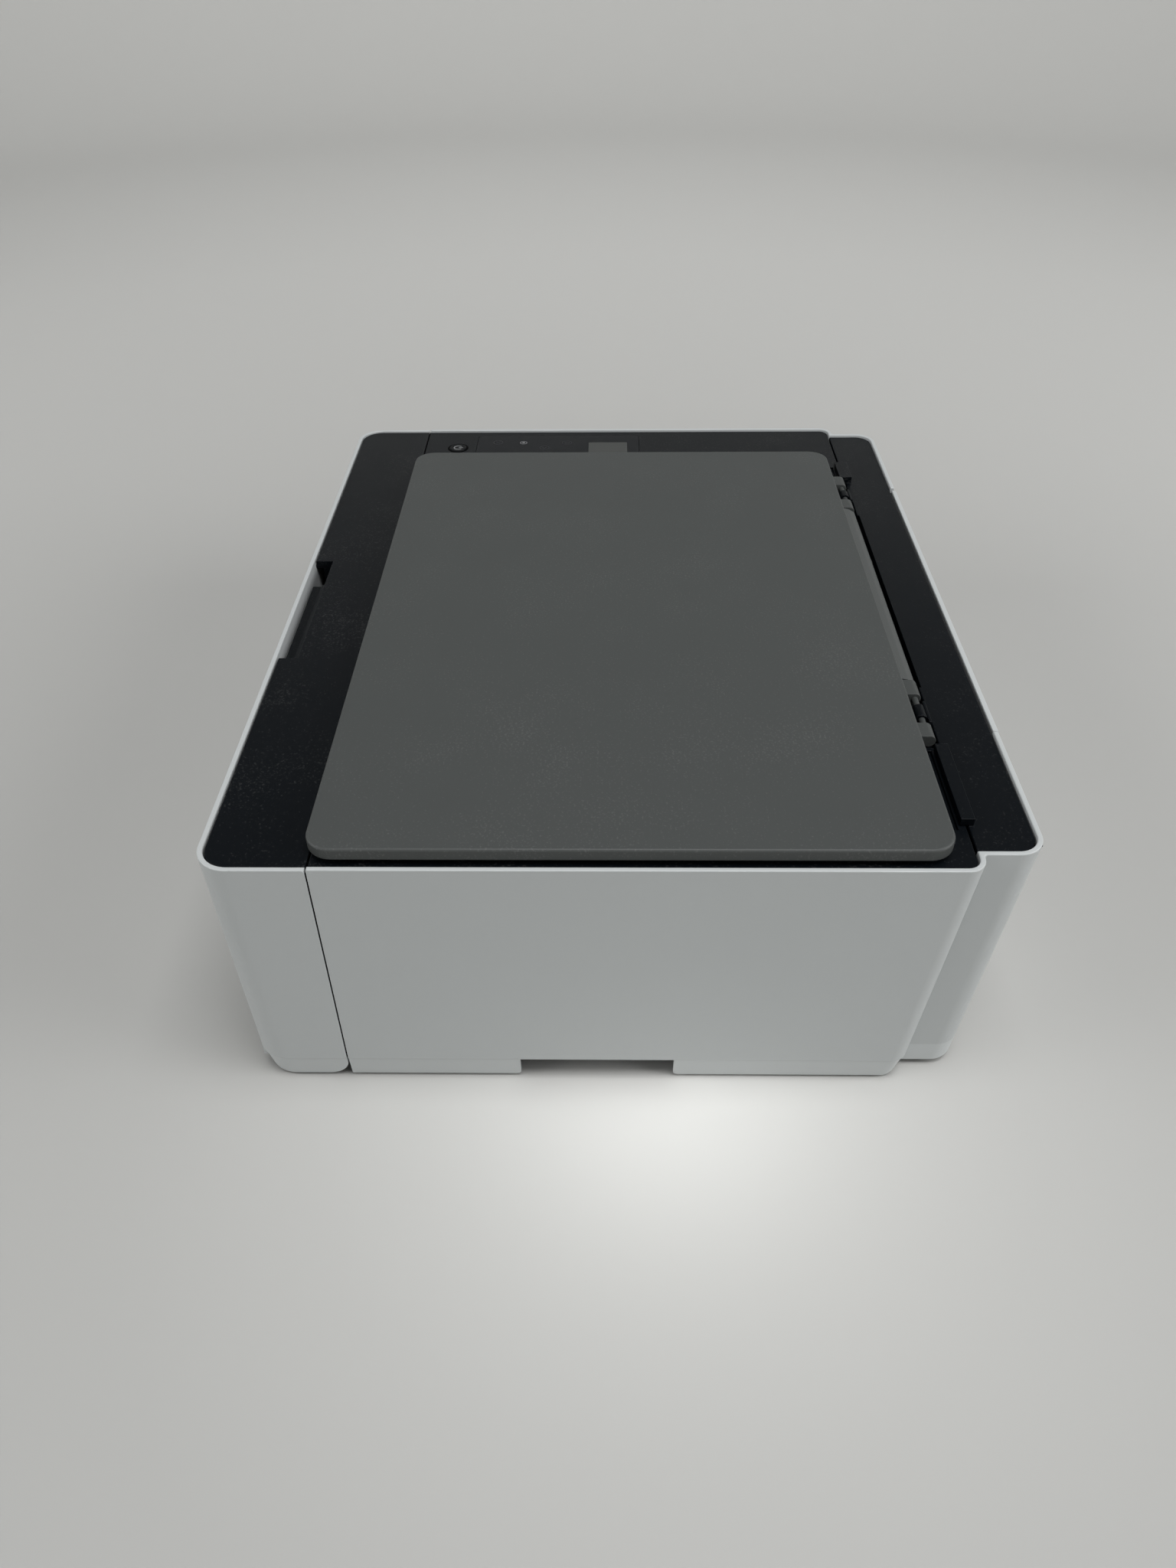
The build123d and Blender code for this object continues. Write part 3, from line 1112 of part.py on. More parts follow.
# Pick roller on its swinging arm
with BuildPart() as pick_arm:
    arm_length = hypot(arm_axis_y - pick_y, arm_axis_z - pick_z)
    for x0 in (-20.0, 17.0):
        with BuildSketch(Plane.YZ.offset(x0)):
            with Locations(Location(((arm_axis_y + pick_y) / 2, (arm_axis_z + pick_z) / 2),
                                    degrees(atan2(arm_axis_z - pick_z, arm_axis_y - pick_y)))):
                SlotCenterToCenter(arm_length, 10.0)
        extrude(amount=3.0)
    block(-20.0, 20.0, 54.0, 60.0, 24.0, 27.0)
    rod_x(-21.0, 21.0, arm_axis_y, arm_axis_z, arm_shaft_r + fit, Mode.SUBTRACT)
    rod_x(-20.0, 20.0, pick_y, pick_z, 2.0)
save(pick_arm, "pick_arm")

with BuildPart() as pick_roller:
    rod_x(-pick_half, pick_half, pick_y, pick_z, pick_r)
    rod_x(-pick_half - 1, pick_half + 1, pick_y, pick_z, 2.0 + fit, Mode.SUBTRACT)
save(pick_roller, "pick_roller")

# Electronics
with BuildPart() as power_supply:
    block(118.0, 172.0, 68.0, 122.0, floor_top, 34.0)
    block(134.0, 146.0, 122.0, 126.2, 17.0, 27.0)
save(power_supply, "power_supply")

with BuildPart() as main_board:
    block(-176.0, -120.0, 66.0, 132.0, 12.0, 13.6)
    for x, y in ((-172.0, 70.0), (-124.0, 70.0), (-172.0, 122.0), (-124.0, 122.0)):
        rod_z(floor_top, 12.0, x, y, 3.0)
    block(-164.0, -146.0, 84.0, 102.0, 13.6, 16.4)
    block(-140.0, -128.0, 78.0, 96.0, 13.6, 15.4)
    block(-172.0, -132.0, 68.0, 73.0, 13.6, 19.0)
save(main_board, "main_board")

with BuildPart() as case_screws:
    for x, y in screw_places:
        rod_z(floor_z - 1.6, floor_z, x, y, 3.2)
        rod_z(floor_z, floor_top, x, y, screw_r)
save(case_screws, "case_screws")
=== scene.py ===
"""Looks of a desktop multifunction printer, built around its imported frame.

Metres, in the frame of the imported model: +X to the right seen from the front, -Y the front, +Z up.
Classes hold the sizes of each sub-assembly, build its meshes with numpy and dress them.
"""

import json
import logging
import math
from dataclasses import dataclass, replace
from enum import Enum
from typing import Sequence

import bmesh
import bpy
import numpy as np
from mathutils import Matrix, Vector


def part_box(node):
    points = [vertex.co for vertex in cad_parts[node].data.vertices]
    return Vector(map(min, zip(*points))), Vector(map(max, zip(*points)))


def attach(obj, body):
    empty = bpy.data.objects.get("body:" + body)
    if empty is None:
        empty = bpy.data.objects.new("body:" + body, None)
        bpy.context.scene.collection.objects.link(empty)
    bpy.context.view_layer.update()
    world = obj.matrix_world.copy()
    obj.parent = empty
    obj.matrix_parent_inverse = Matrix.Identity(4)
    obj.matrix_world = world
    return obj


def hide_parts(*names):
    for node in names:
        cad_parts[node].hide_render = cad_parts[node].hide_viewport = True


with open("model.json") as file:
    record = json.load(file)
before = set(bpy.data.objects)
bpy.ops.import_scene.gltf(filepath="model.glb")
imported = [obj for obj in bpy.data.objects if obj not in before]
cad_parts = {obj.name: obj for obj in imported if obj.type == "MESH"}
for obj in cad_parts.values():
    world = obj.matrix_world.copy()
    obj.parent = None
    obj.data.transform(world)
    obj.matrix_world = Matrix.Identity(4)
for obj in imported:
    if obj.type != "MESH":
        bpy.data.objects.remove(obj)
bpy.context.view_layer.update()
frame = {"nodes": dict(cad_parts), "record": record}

log = logging.getLogger("printer")

MM = 0.001
Pair = tuple[float, float]
Triple = tuple[float, float, float]
Skin = tuple[np.ndarray, list[list[int]]]
Socket = bpy.types.NodeSocket
Tree = bpy.types.NodeTree
Piece = bpy.types.Object

MID_GREY = (0.5, 0.5, 0.5, 1.0)
TONE_PATCH = 0.04
SHEEN_PATCH = 0.02
SPECK_SHARE = 0.02
FINE_GRAIN_SHARE = 0.35
FINE_GRAIN_HEIGHT = 0.4
BRUSH_SQUEEZE = 0.04
DUST_PATCH_SIZE = 40.0
DUST_PATCH_PULL = 0.35
DUST_START, DUST_FULL = 0.80, 0.92
DUST_TINT = (0.55, 0.55, 0.53, 1.0)
FLOOR_BLUE_SHARE = 0.97
GLASS_IOR = 1.5
SIDE_SHARE = 0.45


class Texture(Enum):
    """The kinds of surface that a finish can have."""

    MOULDED = "moulded"
    BRUSHED = "brushed"
    GLASS = "glass"


class Mask(Enum):
    """The ways in which a second finish takes its place on a piece."""

    NEAR_AXIS = "near_axis"
    ABOVE = "above"


@dataclass(frozen=True)
class Finish:
    """One surface finish. Sizes are in metres."""

    name: str
    colour: Triple
    roughness: float
    texture: Texture = Texture.MOULDED
    grain: float = 0.45 * MM
    relief: float = 0.006 * MM
    drift: float = 0.03
    spread: float = 0.05
    metallic: float = 0.0
    specular: float = 0.5
    dust: float = 0.0


@dataclass(frozen=True)
class SecondFinish:
    """A second finish on the same piece, and where it lies."""

    finish: Finish
    mask: Mask
    centre: Triple = (0.0, 0.0, 0.0)
    reach: float = 0.0


CASE_WHITE = Finish("case_white", (0.473, 0.494, 0.497), 0.42, grain=0.5 * MM, relief=0.005 * MM, drift=0.012)
# Lower band of the case: the same plastic painted lighter below 13.3 mm, a painted highlight for the light the
# downward-facing band catches from the floor
CASE_BAND_PAINTED_LIGHT = replace(CASE_WHITE, name="case_band", colour=(0.535, 0.558, 0.562))
DECK_BLACK = Finish("deck_black", (0.0013, 0.0025, 0.0040), 0.4, grain=0.35 * MM, relief=0.004 * MM,
                    drift=0.05, specular=0.185, dust=0.035)
LID_GREY = Finish("lid_grey", (0.0565, 0.061, 0.0598), 0.5, grain=0.3 * MM, drift=0.02, specular=0.36,
                  dust=0.05)
# Rear lip: the lid's grey painted lighter, a painted highlight for the light its rearward slope catches
LIP_GREY_PAINTED_LIGHT = replace(LID_GREY, name="lip_grey", colour=(0.075, 0.080, 0.0785), dust=0.02)
PANEL_GLOSS = Finish("panel_gloss", (0.0042, 0.0054, 0.0072), 0.26, relief=0.001 * MM, spread=0.02,
                     specular=0.10, dust=0.02)
DISPLAY_GREY = replace(PANEL_GLOSS, name="display_grey", colour=(0.045, 0.048, 0.046), specular=0.25, dust=0.0)
BUTTON_BLACK = Finish("button_black", (0.0030, 0.0038, 0.0046), 0.42, relief=0.002 * MM, spread=0.03,
                      specular=0.14)
# Near black put in gaps and seams: painted shade where a gap is dark
GAP_SHADE_BLACK = Finish("gap_shade_black", (0.0008, 0.0009, 0.001), 0.6, relief=0.002 * MM, specular=0.05)
SYMBOL_GREY = Finish("symbol_grey", (0.019, 0.021, 0.024), 0.35, relief=0.0, specular=0.2)
SYMBOL_LIGHT = replace(SYMBOL_GREY, name="symbol_light", colour=(0.19, 0.195, 0.20))
CLEAR_GLASS = Finish("clear_glass", (0.93, 0.96, 0.95), 0.015, Texture.GLASS, relief=0.0)
PAD_FILM = Finish("pad_film", (0.78, 0.78, 0.77), 0.62, grain=0.8 * MM, relief=0.012 * MM, drift=0.012)
FOOT_RUBBER = Finish("foot_rubber", (0.016, 0.016, 0.017), 0.75, grain=0.25 * MM, relief=0.02 * MM, drift=0.12)
ROLLER_RUBBER = Finish("roller_rubber", (0.05, 0.052, 0.055), 0.68, grain=0.2 * MM, relief=0.02 * MM, drift=0.1)
BELT_RUBBER = Finish("belt_rubber", (0.02, 0.02, 0.021), 0.7, grain=0.3 * MM, relief=0.01 * MM, drift=0.1)
ENGINE_DARK = Finish("engine_dark", (0.018, 0.019, 0.021), 0.48, grain=0.4 * MM, relief=0.012 * MM, drift=0.08)
GUIDE_GREY = Finish("guide_grey", (0.17, 0.18, 0.19), 0.42)
CARTRIDGE_BLACK = Finish("cartridge_black", (0.012, 0.012, 0.013), 0.34, relief=0.004 * MM, drift=0.05)
INLET_BLACK = Finish("inlet_black", (0.014, 0.014, 0.015), 0.4, relief=0.008 * MM)
SENSOR_BLACK = Finish("sensor_black", (0.014, 0.014, 0.015), 0.4)
CHIP_BLACK = Finish("chip_black", (0.012, 0.012, 0.013), 0.45, relief=0.004 * MM)
PLAIN_STEEL = Finish("plain_steel", (0.50, 0.50, 0.51), 0.3, Texture.BRUSHED, grain=0.3 * MM,
                     relief=0.003 * MM, drift=0.06, spread=0.12, metallic=1.0)
DARK_STEEL = replace(PLAIN_STEEL, name="dark_steel", colour=(0.22, 0.22, 0.23), roughness=0.34)
PINION_BRASS = Finish("pinion_brass", (0.55, 0.38, 0.13), 0.28, Texture.BRUSHED, grain=0.25 * MM,
                      relief=0.002 * MM, spread=0.1, metallic=1.0)
GEAR_IVORY = Finish("gear_ivory", (0.56, 0.55, 0.50), 0.38, relief=0.003 * MM)
BOARD_GREEN = Finish("board_green", (0.014, 0.085, 0.036), 0.32, grain=0.9 * MM, relief=0.01 * MM, drift=0.2)
FLOOR_PAPER = Finish("floor_paper", (0.77, 0.775, 0.765), 0.85, grain=1.2 * MM, relief=0.01 * MM, drift=0.015)

# The CAD nodes that show, or that a softened copy stands for, under their finishes
NODE_FINISHES: dict[str, Finish] = {node: finish for finish, nodes in (
    (CASE_BAND_PAINTED_LIGHT, "main_shell front_cover"),
    (CASE_WHITE, "rear_panel rear_door"),
    (DECK_BLACK, "main_deck rear_deck front_top_strip lid_hinge_brackets"),
    (PANEL_GLOSS, "touch_panel"),
    (DISPLAY_GREY, "display_window"),
    (CLEAR_GLASS, "scan_glass"),
    (ENGINE_DARK, "base_pan front_bezel input_tray output_tray scanner_tub platen roller_beams carriage "
                  "service_station tray_liner"),
    (GUIDE_GREY, "left_width_guide right_width_guide output_extension pick_arm"),
    (CARTRIDGE_BLACK, "black_cartridge colour_cartridge"),
    (INLET_BLACK, "power_inlet power_supply"),
    (SENSOR_BLACK, "scan_bar"),
    (PLAIN_STEEL, "carriage_rail scan_rod carriage_motor feed_motor scan_motor usb_port star_wheels"),
    (DARK_STEEL, "left_frame right_frame"),
    (PINION_BRASS, "motor_pinion"),
    (GEAR_IVORY, "feed_gear output_gear idler_gear motor_pulley idler_pulley scan_pulley"),
    (ROLLER_RUBBER, "feed_roller output_roller pinch_rollers pick_roller"),
    (BOARD_GREEN, "control_board main_board"),
) for node in nodes.split()}

# Plain case white above 13.3 mm, with the painted lighter band below it
CASE_WHITE_ABOVE_PAINTED_BAND = SecondFinish(CASE_WHITE, Mask.ABOVE, reach=13.3 * MM)
SECOND_FINISHES: dict[str, SecondFinish] = {
    "main_shell": CASE_WHITE_ABOVE_PAINTED_BAND,
    "front_cover": CASE_WHITE_ABOVE_PAINTED_BAND,
    "feed_roller": SecondFinish(PLAIN_STEEL, Mask.NEAR_AXIS, (0.0, 18.0 * MM, 36.0 * MM), 3.2 * MM),
    "output_roller": SecondFinish(PLAIN_STEEL, Mask.NEAR_AXIS, (0.0, -28.0 * MM, 36.0 * MM), 3.2 * MM),
    "pinch_rollers": SecondFinish(PLAIN_STEEL, Mask.NEAR_AXIS, (0.0, 18.0 * MM, 45.7 * MM), 1.5 * MM),
    "main_board": SecondFinish(CHIP_BLACK, Mask.ABOVE, reach=13.65 * MM),
    "control_board": SecondFinish(CHIP_BLACK, Mask.ABOVE, reach=109.65 * MM),
    "service_station": SecondFinish(ROLLER_RUBBER, Mask.ABOVE, reach=38.4 * MM),
}


class Wiring:
    """A shader node tree in which each input takes a socket or a plain value."""

    def __init__(self, tree: Tree) -> None:
        """Keep the tree to build in."""
        self.tree = tree

    def feed(self, target: Socket, value: object) -> None:
        """Link a socket to an input, or set a plain value on it.

        Args:
            target: The input.
            value: The socket or value.
        """
        if isinstance(value, Socket):
            self.tree.links.new(value, target)
        else:
            target.default_value = value

    def node(self, kind: str, values: dict[str | int, object] | None = None, **settings: object
             ) -> bpy.types.Node:
        """Add a node.

        Args:
            kind: Its type, less the word ShaderNode.
            values: Sockets or plain values of its inputs, by name or number.
            settings: Its other properties.

        Returns:
            The node.
        """
        made = self.tree.nodes.new(f"ShaderNode{kind}")
        for name, setting in settings.items():
            setattr(made, name, setting)
        for place, value in (values or {}).items():
            self.feed(made.inputs[place], value)
        return made

    def group(self, group: Tree, **values: object) -> Socket:
        """Result of a shared group that is placed here with its own values."""
        return self.node("Group", values, node_tree=group).outputs[0]

    def maths(self, operation: str, *values: object) -> Socket:
        """Result of a sum on sockets or numbers."""
        return self.node("Math", dict(enumerate(values)), operation=operation).outputs[0]

    def vector(self, operation: str, *values: object) -> Socket:
        """Result of a vector sum on sockets or vectors."""
        return self.node("VectorMath", dict(enumerate(values)), operation=operation).outputs[0]

    def place(self) -> Socket:
        """Object coordinates."""
        return self.node("TexCoord").outputs["Object"]

    def height(self, place: Socket) -> Socket:
        """Z of a place."""
        return self.node("SeparateXYZ", {0: place}).outputs["Z"]

    def distance(self, centre: object, keep: Triple) -> Socket:
        """Distance from a centre on the axes whose share is 1, and not on those whose share is 0."""
        offset = self.vector("MULTIPLY", self.vector("SUBTRACT", self.place(), centre), keep)
        return self.node("VectorMath", {0: offset}, operation="LENGTH").outputs["Value"]

    def noise(self, size: Socket, factor: float = 1.0, detail: float = 1.0, squeeze: Socket | None = None
              ) -> Socket:
        """Noise on Object coordinates, in patches of a share of a size.

        Args:
            size: Socket with the size in metres.
            factor: Share of that size.
            detail: Octaves of the noise.
            squeeze: Socket with what the coordinates are multiplied by, where they are.

        Returns:
            The noise value, about a half.
        """
        place = self.place() if squeeze is None else self.vector("MULTIPLY", self.place(), squeeze)
        scale = self.maths("DIVIDE", 1.0 / factor, size)
        return self.node("TexNoise", {"Detail": detail, "Vector": place, "Scale": scale}).outputs["Fac"]

    def mix(self, share: Socket, first: object, second: object) -> Socket:
        """Colour that goes from one to another.

        Args:
            share: 0 where the first shows, and 1 where the second does.
            first: The first colour.
            second: The second colour.

        Returns:
            The colour.
        """
        made = self.node("Mix", {0: share}, data_type="RGBA")
        ends = [socket for socket in made.inputs if socket.type == "RGBA"]
        self.feed(ends[0], first)
        self.feed(ends[1], second)
        return next(socket for socket in made.outputs if socket.type == "RGBA")


class ShaderShop:
    """Builds the shared node groups once, and a material from each finish."""

    def __init__(self) -> None:
        """Make the shared groups."""
        self.materials: dict[str, bpy.types.Material] = {}
        self.tone = self._tone_group()
        self.grain = self._grain_group()
        self.sheen = self._roughness_group()
        self.near_axis = self._near_axis_group()
        self.above = self._above_group()
        self.dust = self._dust_group()

    @staticmethod
    def _group(name: str, result: str, **inputs: object) -> tuple[Wiring, bpy.types.NodeOutputs, Socket]:
        """Make a node group that has one output and nothing in it yet.

        Args:
            name: The group's name.
            result: The output's name: Colour for a colour, and any other for a number.
            inputs: Default of each input: a number, a vector of three or a colour of four.

        Returns:
            The group's wiring, the sockets that it is given, and the socket that it puts out.
        """
        tree = bpy.data.node_groups.new(name, "ShaderNodeTree")
        kinds = {3: "NodeSocketVector", 4: "NodeSocketColor"}
        for label, default in inputs.items():
            kind = kinds[len(default)] if isinstance(default, tuple) else "NodeSocketFloat"
            tree.interface.new_socket(label, in_out="INPUT", socket_type=kind).default_value = default
        kind = "NodeSocketColor" if result == "Colour" else "NodeSocketFloat"
        tree.interface.new_socket(result, in_out="OUTPUT", socket_type=kind)
        given = tree.nodes.new("NodeGroupInput").outputs
        return Wiring(tree), given, tree.nodes.new("NodeGroupOutput").inputs[result]

    def _tone_group(self) -> Tree:
        """Colour that drifts a little lighter and darker in broad patches and in fine specks."""
        wire, given, out = self._group("tone_drift", "Colour", Colour=MID_GREY, Amount=0.03, Size=0.05)
        broad = wire.noise(given["Size"], detail=3.0)
        specks = wire.noise(given["Size"], SPECK_SHARE)
        both = wire.maths("ADD", broad, specks)
        gain = wire.maths("MULTIPLY_ADD", wire.maths("SUBTRACT", both, 1.0), given["Amount"], 1.0)
        tint = wire.node("VectorMath", {0: given["Colour"], "Scale": gain}, operation="SCALE")
        wire.feed(out, tint.outputs[0])
        return wire.tree

    def _grain_group(self) -> Tree:
        """Height of a fine moulded grain, or of brush lines where the coordinates are squeezed along X."""
        wire, given, out = self._group("fine_grain", "Height", Size=0.0004, Squeeze=(1.0, 1.0, 1.0))
        coarse = wire.noise(given["Size"], detail=2.0, squeeze=given["Squeeze"])
        fine = wire.noise(given["Size"], FINE_GRAIN_SHARE, squeeze=given["Squeeze"])
        wire.feed(out, wire.maths("MULTIPLY_ADD", fine, FINE_GRAIN_HEIGHT, coarse))
        return wire.tree

    def _roughness_group(self) -> Tree:
        """Roughness that varies in patches, as handling and moulding leave it."""
        wire, given, out = self._group("roughness_patches", "Roughness", Roughness=0.4, Spread=0.05, Size=0.02)
        centred = wire.maths("SUBTRACT", wire.noise(given["Size"], detail=4.0), 0.5)
        wire.feed(out, wire.maths("MULTIPLY_ADD", centred, given["Spread"], given["Roughness"]))
        return wire.tree

    def _near_axis_group(self) -> Tree:
        """Mask that is 1 nearer than a reach to an axis along X, and 0 further out."""
        wire, given, out = self._group("near_axis", "Mask", Centre=(0.0, 0.0, 0.0), Reach=0.003)
        radius = wire.distance(given["Centre"], (0.0, 1.0, 1.0))
        wire.feed(out, wire.maths("LESS_THAN", radius, given["Reach"]))
        return wire.tree

    def _above_group(self) -> Tree:
        """Mask that is 1 above a height, and 0 below it."""
        wire, given, out = self._group("above_height", "Mask", Reach=0.01)
        wire.feed(out, wire.maths("GREATER_THAN", wire.height(wire.place()), given["Reach"]))
        return wire.tree

    def _dust_group(self) -> Tree:
        """Colour with a thin scatter of pale specks, thicker in some patches than in others."""
        wire, given, out = self._group("settled_dust", "Colour", Colour=MID_GREY, Amount=0.03, Size=0.0009)
        patches = wire.noise(given["Size"], DUST_PATCH_SIZE, 2.0)
        total = wire.maths("MULTIPLY_ADD", patches, DUST_PATCH_PULL, wire.noise(given["Size"]))
        shown = wire.node("MapRange", {"Value": total, "From Min": DUST_START, "From Max": DUST_FULL})
        share = wire.maths("MULTIPLY", shown.outputs["Result"], given["Amount"])
        wire.feed(out, wire.mix(share, given["Colour"], DUST_TINT))
        return wire.tree

    def _toned(self, wire: Wiring, finish: Finish) -> Socket:
        """A finish's colour with its drift."""
        return wire.group(self.tone, Colour=(*finish.colour, 1.0), Amount=finish.drift, Size=TONE_PATCH)

    def _mask(self, wire: Wiring, second: SecondFinish) -> Socket:
        """Socket that is 1 where the second finish lies."""
        centre = {"Centre": second.centre} if second.mask is Mask.NEAR_AXIS else {}
        return wire.group(self.near_axis if centre else self.above, Reach=second.reach, **centre)

    def material(self, finish: Finish, second: SecondFinish | None = None) -> bpy.types.Material:
        """The material of a finish, with a second finish in its place if one is given.

        Args:
            finish: The main finish.
            second: The second finish, if any.

        Returns:
            The material, made once for each pair.
        """
        name = finish.name if second is None else f"{finish.name}_{second.finish.name}_{second.reach:.4f}"
        if name in self.materials:
            return self.materials[name]
        material = bpy.data.materials.new(name)
        material.use_nodes = True
        wire = Wiring(material.node_tree)
        shader = material.node_tree.nodes["Principled BSDF"].inputs
        shader["Metallic"].default_value = finish.metallic
        shader["Specular IOR Level"].default_value = finish.specular
        colour = self._toned(wire, finish)
        if finish.dust > 0.0:
            colour = wire.group(self.dust, Colour=colour, Amount=finish.dust)
        if second is not None:
            mask = self._mask(wire, second)
            colour = wire.mix(mask, colour, self._toned(wire, second.finish))
            if second.finish.metallic != finish.metallic:
                wire.feed(shader["Metallic"], mask)
        wire.feed(shader["Base Color"], colour)
        wire.feed(shader["Roughness"], wire.group(self.sheen, Roughness=finish.roughness,
                                                  Spread=finish.spread, Size=SHEEN_PATCH))
        if finish.texture is Texture.GLASS:
            shader["Transmission Weight"].default_value = 1.0
            shader["IOR"].default_value = GLASS_IOR
        if finish.relief > 0.0:
            along = BRUSH_SQUEEZE if finish.texture is Texture.BRUSHED else 1.0
            grain = wire.group(self.grain, Size=finish.grain, Squeeze=(along, 1.0, 1.0))
            bump = wire.node("Bump", {"Strength": 1.0, "Distance": finish.relief, "Height": grain})
            wire.feed(shader["Normal"], bump.outputs["Normal"])
        self.materials[name] = material
        return material

    def paint_light_falloff(self, material: bpy.types.Material, centre: Triple, tones: Sequence[Pair]) -> None:
        """Paint light falloff into a material: its grey changes with the level distance from a point.

        Args:
            material: The material.
            centre: The point that the painted light falls off from.
            tones: Pairs of distance and grey, in order.
        """
        wire = Wiring(material.node_tree)
        reach = tones[-1][0]
        share = wire.maths("DIVIDE", wire.distance(centre, (1.0, 1.0, 0.0)), reach)
        ramp = wire.node("ValToRGB", {"Fac": share})
        ramp.color_ramp.interpolation = "B_SPLINE"
        stops = ramp.color_ramp.elements
        ready = len(stops)
        for index, (radius, grey) in enumerate(tones):
            stop = stops[index] if index < ready else stops.new(radius / reach)
            stop.position = radius / reach
            stop.color = (grey, grey, grey * FLOOR_BLUE_SHARE, 1.0)
        wire.feed(material.node_tree.nodes["Principled BSDF"].inputs["Base Color"], ramp.outputs["Color"])

    def dress(self, piece: Piece, finish: Finish, second: SecondFinish | None = None) -> None:
        """Give a piece its material in every slot.

        Args:
            piece: The piece.
            finish: Its finish.
            second: A second finish on it, if any.
        """
        material = self.material(finish, second)
        if not piece.data.materials:
            piece.data.materials.append(material)
        for slot in piece.material_slots:
            slot.material = material


def body_of_node(node: str) -> str:
    """Name of the body that a CAD node rides on."""
    groups = frame["record"]["behaviour"]["bodies"]
    return next(body for body, members in groups.items() if node in members)


def new_piece(name: str, skin: Skin, smooth: bool = True) -> Piece:
    """Make a mesh piece at the origin.

    Args:
        name: The piece's name.
        skin: Its points, one row each, and the corner indices of each face.
        smooth: Whether its faces are shaded smooth.

    Returns:
        The object, linked to the scene.
    """
    vertices, faces = skin
    mesh = bpy.data.meshes.new(name)
    mesh.from_pydata(np.asarray(vertices, float).tolist(), [], faces)
    mesh.validate()
    mesh.polygons.foreach_set("use_smooth", np.full(len(mesh.polygons), smooth))
    mesh.update()
    piece = bpy.data.objects.new(name, mesh)
    bpy.context.scene.collection.objects.link(piece)
    return piece


def flatten_normals(piece: Piece, keep_sharp: bool) -> None:
    """Let a piece's flat faces set the normals along their edges, so that they look flat.

    Args:
        piece: The piece.
        keep_sharp: Whether sharp edges stay sharp.
    """
    weighted = piece.modifiers.new("flat_faces", "WEIGHTED_NORMAL")
    weighted.keep_sharp = keep_sharp
    weighted.weight = 100


def soften(piece: Piece, width: float, segments: int = 2, angle: float = 30.0) -> None:
    """Round a piece's sharp edges and keep its flat faces flat.

    Args:
        piece: The piece.
        width: Width of the rounding.
        segments: Spans across it.
        angle: Edges that turn by more than this, in degrees, are rounded.
    """
    bevel = piece.modifiers.new("edge_round", "BEVEL")
    bevel.width = width
    bevel.segments = segments
    bevel.limit_method = "ANGLE"
    bevel.angle_limit = math.radians(angle)
    bevel.use_clamp_overlap = False
    flatten_normals(piece, keep_sharp=True)


def around(x: float, y: float, r: float | np.ndarray, turn: np.ndarray) -> np.ndarray:
    """Points (x + r cos t, y + r sin t) at the angles t of a turn."""
    return np.column_stack([x + r * np.cos(turn), y + r * np.sin(turn)])


def circle(x: float, y: float, r: float, steps: int) -> np.ndarray:
    """Points on a circle of radius r about (x, y), anticlockwise."""
    return around(x, y, r, np.linspace(0.0, 2 * math.pi, steps, endpoint=False))


def rounded_rectangle(edges: Sequence[float], inset: float, r: float, steps: int) -> np.ndarray:
    """Outline of a rectangle with round corners, drawn in by an inset, anticlockwise.

    Each corner is a quarter circle of radius r about the point that lies r inside both sides.

    Args:
        edges: Least X, greatest X, least Y and greatest Y.
        inset: How far the sides are drawn in.
        r: Corner radius.
        steps: Spans in each corner.

    Returns:
        Points, one row each.
    """
    turn = np.linspace(0.0, math.pi / 2, steps + 1)
    x0, x1, y0, y1 = np.array(edges) + (inset + r) * np.array([1, -1, 1, -1])
    centres = ((x1, y0), (x1, y1), (x0, y1), (x0, y0))
    return np.concatenate([around(*centre, r, turn + (corner - 1) * math.pi / 2)
                           for corner, centre in enumerate(centres)])


def rounded_profile(points: Sequence[Pair], r: float, steps: int = 4) -> np.ndarray:
    """Outline with each corner eased.

    At a corner C, A and B lie r before and after it, or a share of the side that is under a half. The
    outline there is (1 - t)^2 A + 2 t (1 - t) C + t^2 B.

    Args:
        points: Corners in order.
        r: How far from each corner the easing starts.
        steps: Spans at each corner.

    Returns:
        Points, one row each.
    """
    corner = np.asarray(points, float)
    ends = []
    for neighbour in (np.roll(corner, 1, axis=0), np.roll(corner, -1, axis=0)):
        way = neighbour - corner
        length = np.linalg.norm(way, axis=1)[:, None]
        ends.append(corner + way / length * np.minimum(r, SIDE_SHARE * length))
    t = np.linspace(0.0, 1.0, steps + 1)[None, :, None]
    arcs = (1 - t) ** 2 * ends[0][:, None] + 2 * t * (1 - t) * corner[:, None] + t ** 2 * ends[1][:, None]
    return arcs.reshape(-1, 2)


def cells(levels: int, count: int, joined: bool = False) -> np.ndarray:
    """Faces between neighbouring rings of points, which are numbered ring after ring.

    Face (i, j) goes from point j to j + 1 of ring i and back along the next ring, the last point's
    neighbour being the first.

    Args:
        levels: How many rings there are.
        count: Points in each.
        joined: Whether the last ring is joined to the first.

    Returns:
        Four corner indices for each face.
    """
    ring = np.arange(count)
    after = np.roll(ring, -1)
    low = (np.arange(levels if joined else levels - 1) * count)[:, None]
    high = (low + count) % (levels * count)
    return np.stack([low + ring, low + after, high + after, high + ring], axis=2).reshape(-1, 4)


def ring_skin(rings: np.ndarray, joined: bool = False) -> Skin:
    """Closed skin through rings of points, capped at both ends or joined up.

    Args:
        rings: The points, as rings by points by coordinates.
        joined: Whether the last ring is joined to the first.

    Returns:
        Points and faces, with faces outward where the rings run anticlockwise seen from the last one.
    """
    levels, count = rings.shape[:2]
    faces = cells(levels, count, joined).tolist()
    if not joined:
        ring = np.arange(count)
        faces += [ring[::-1].tolist(), (ring + (levels - 1) * count).tolist()]
    return rings.reshape(-1, 3), faces


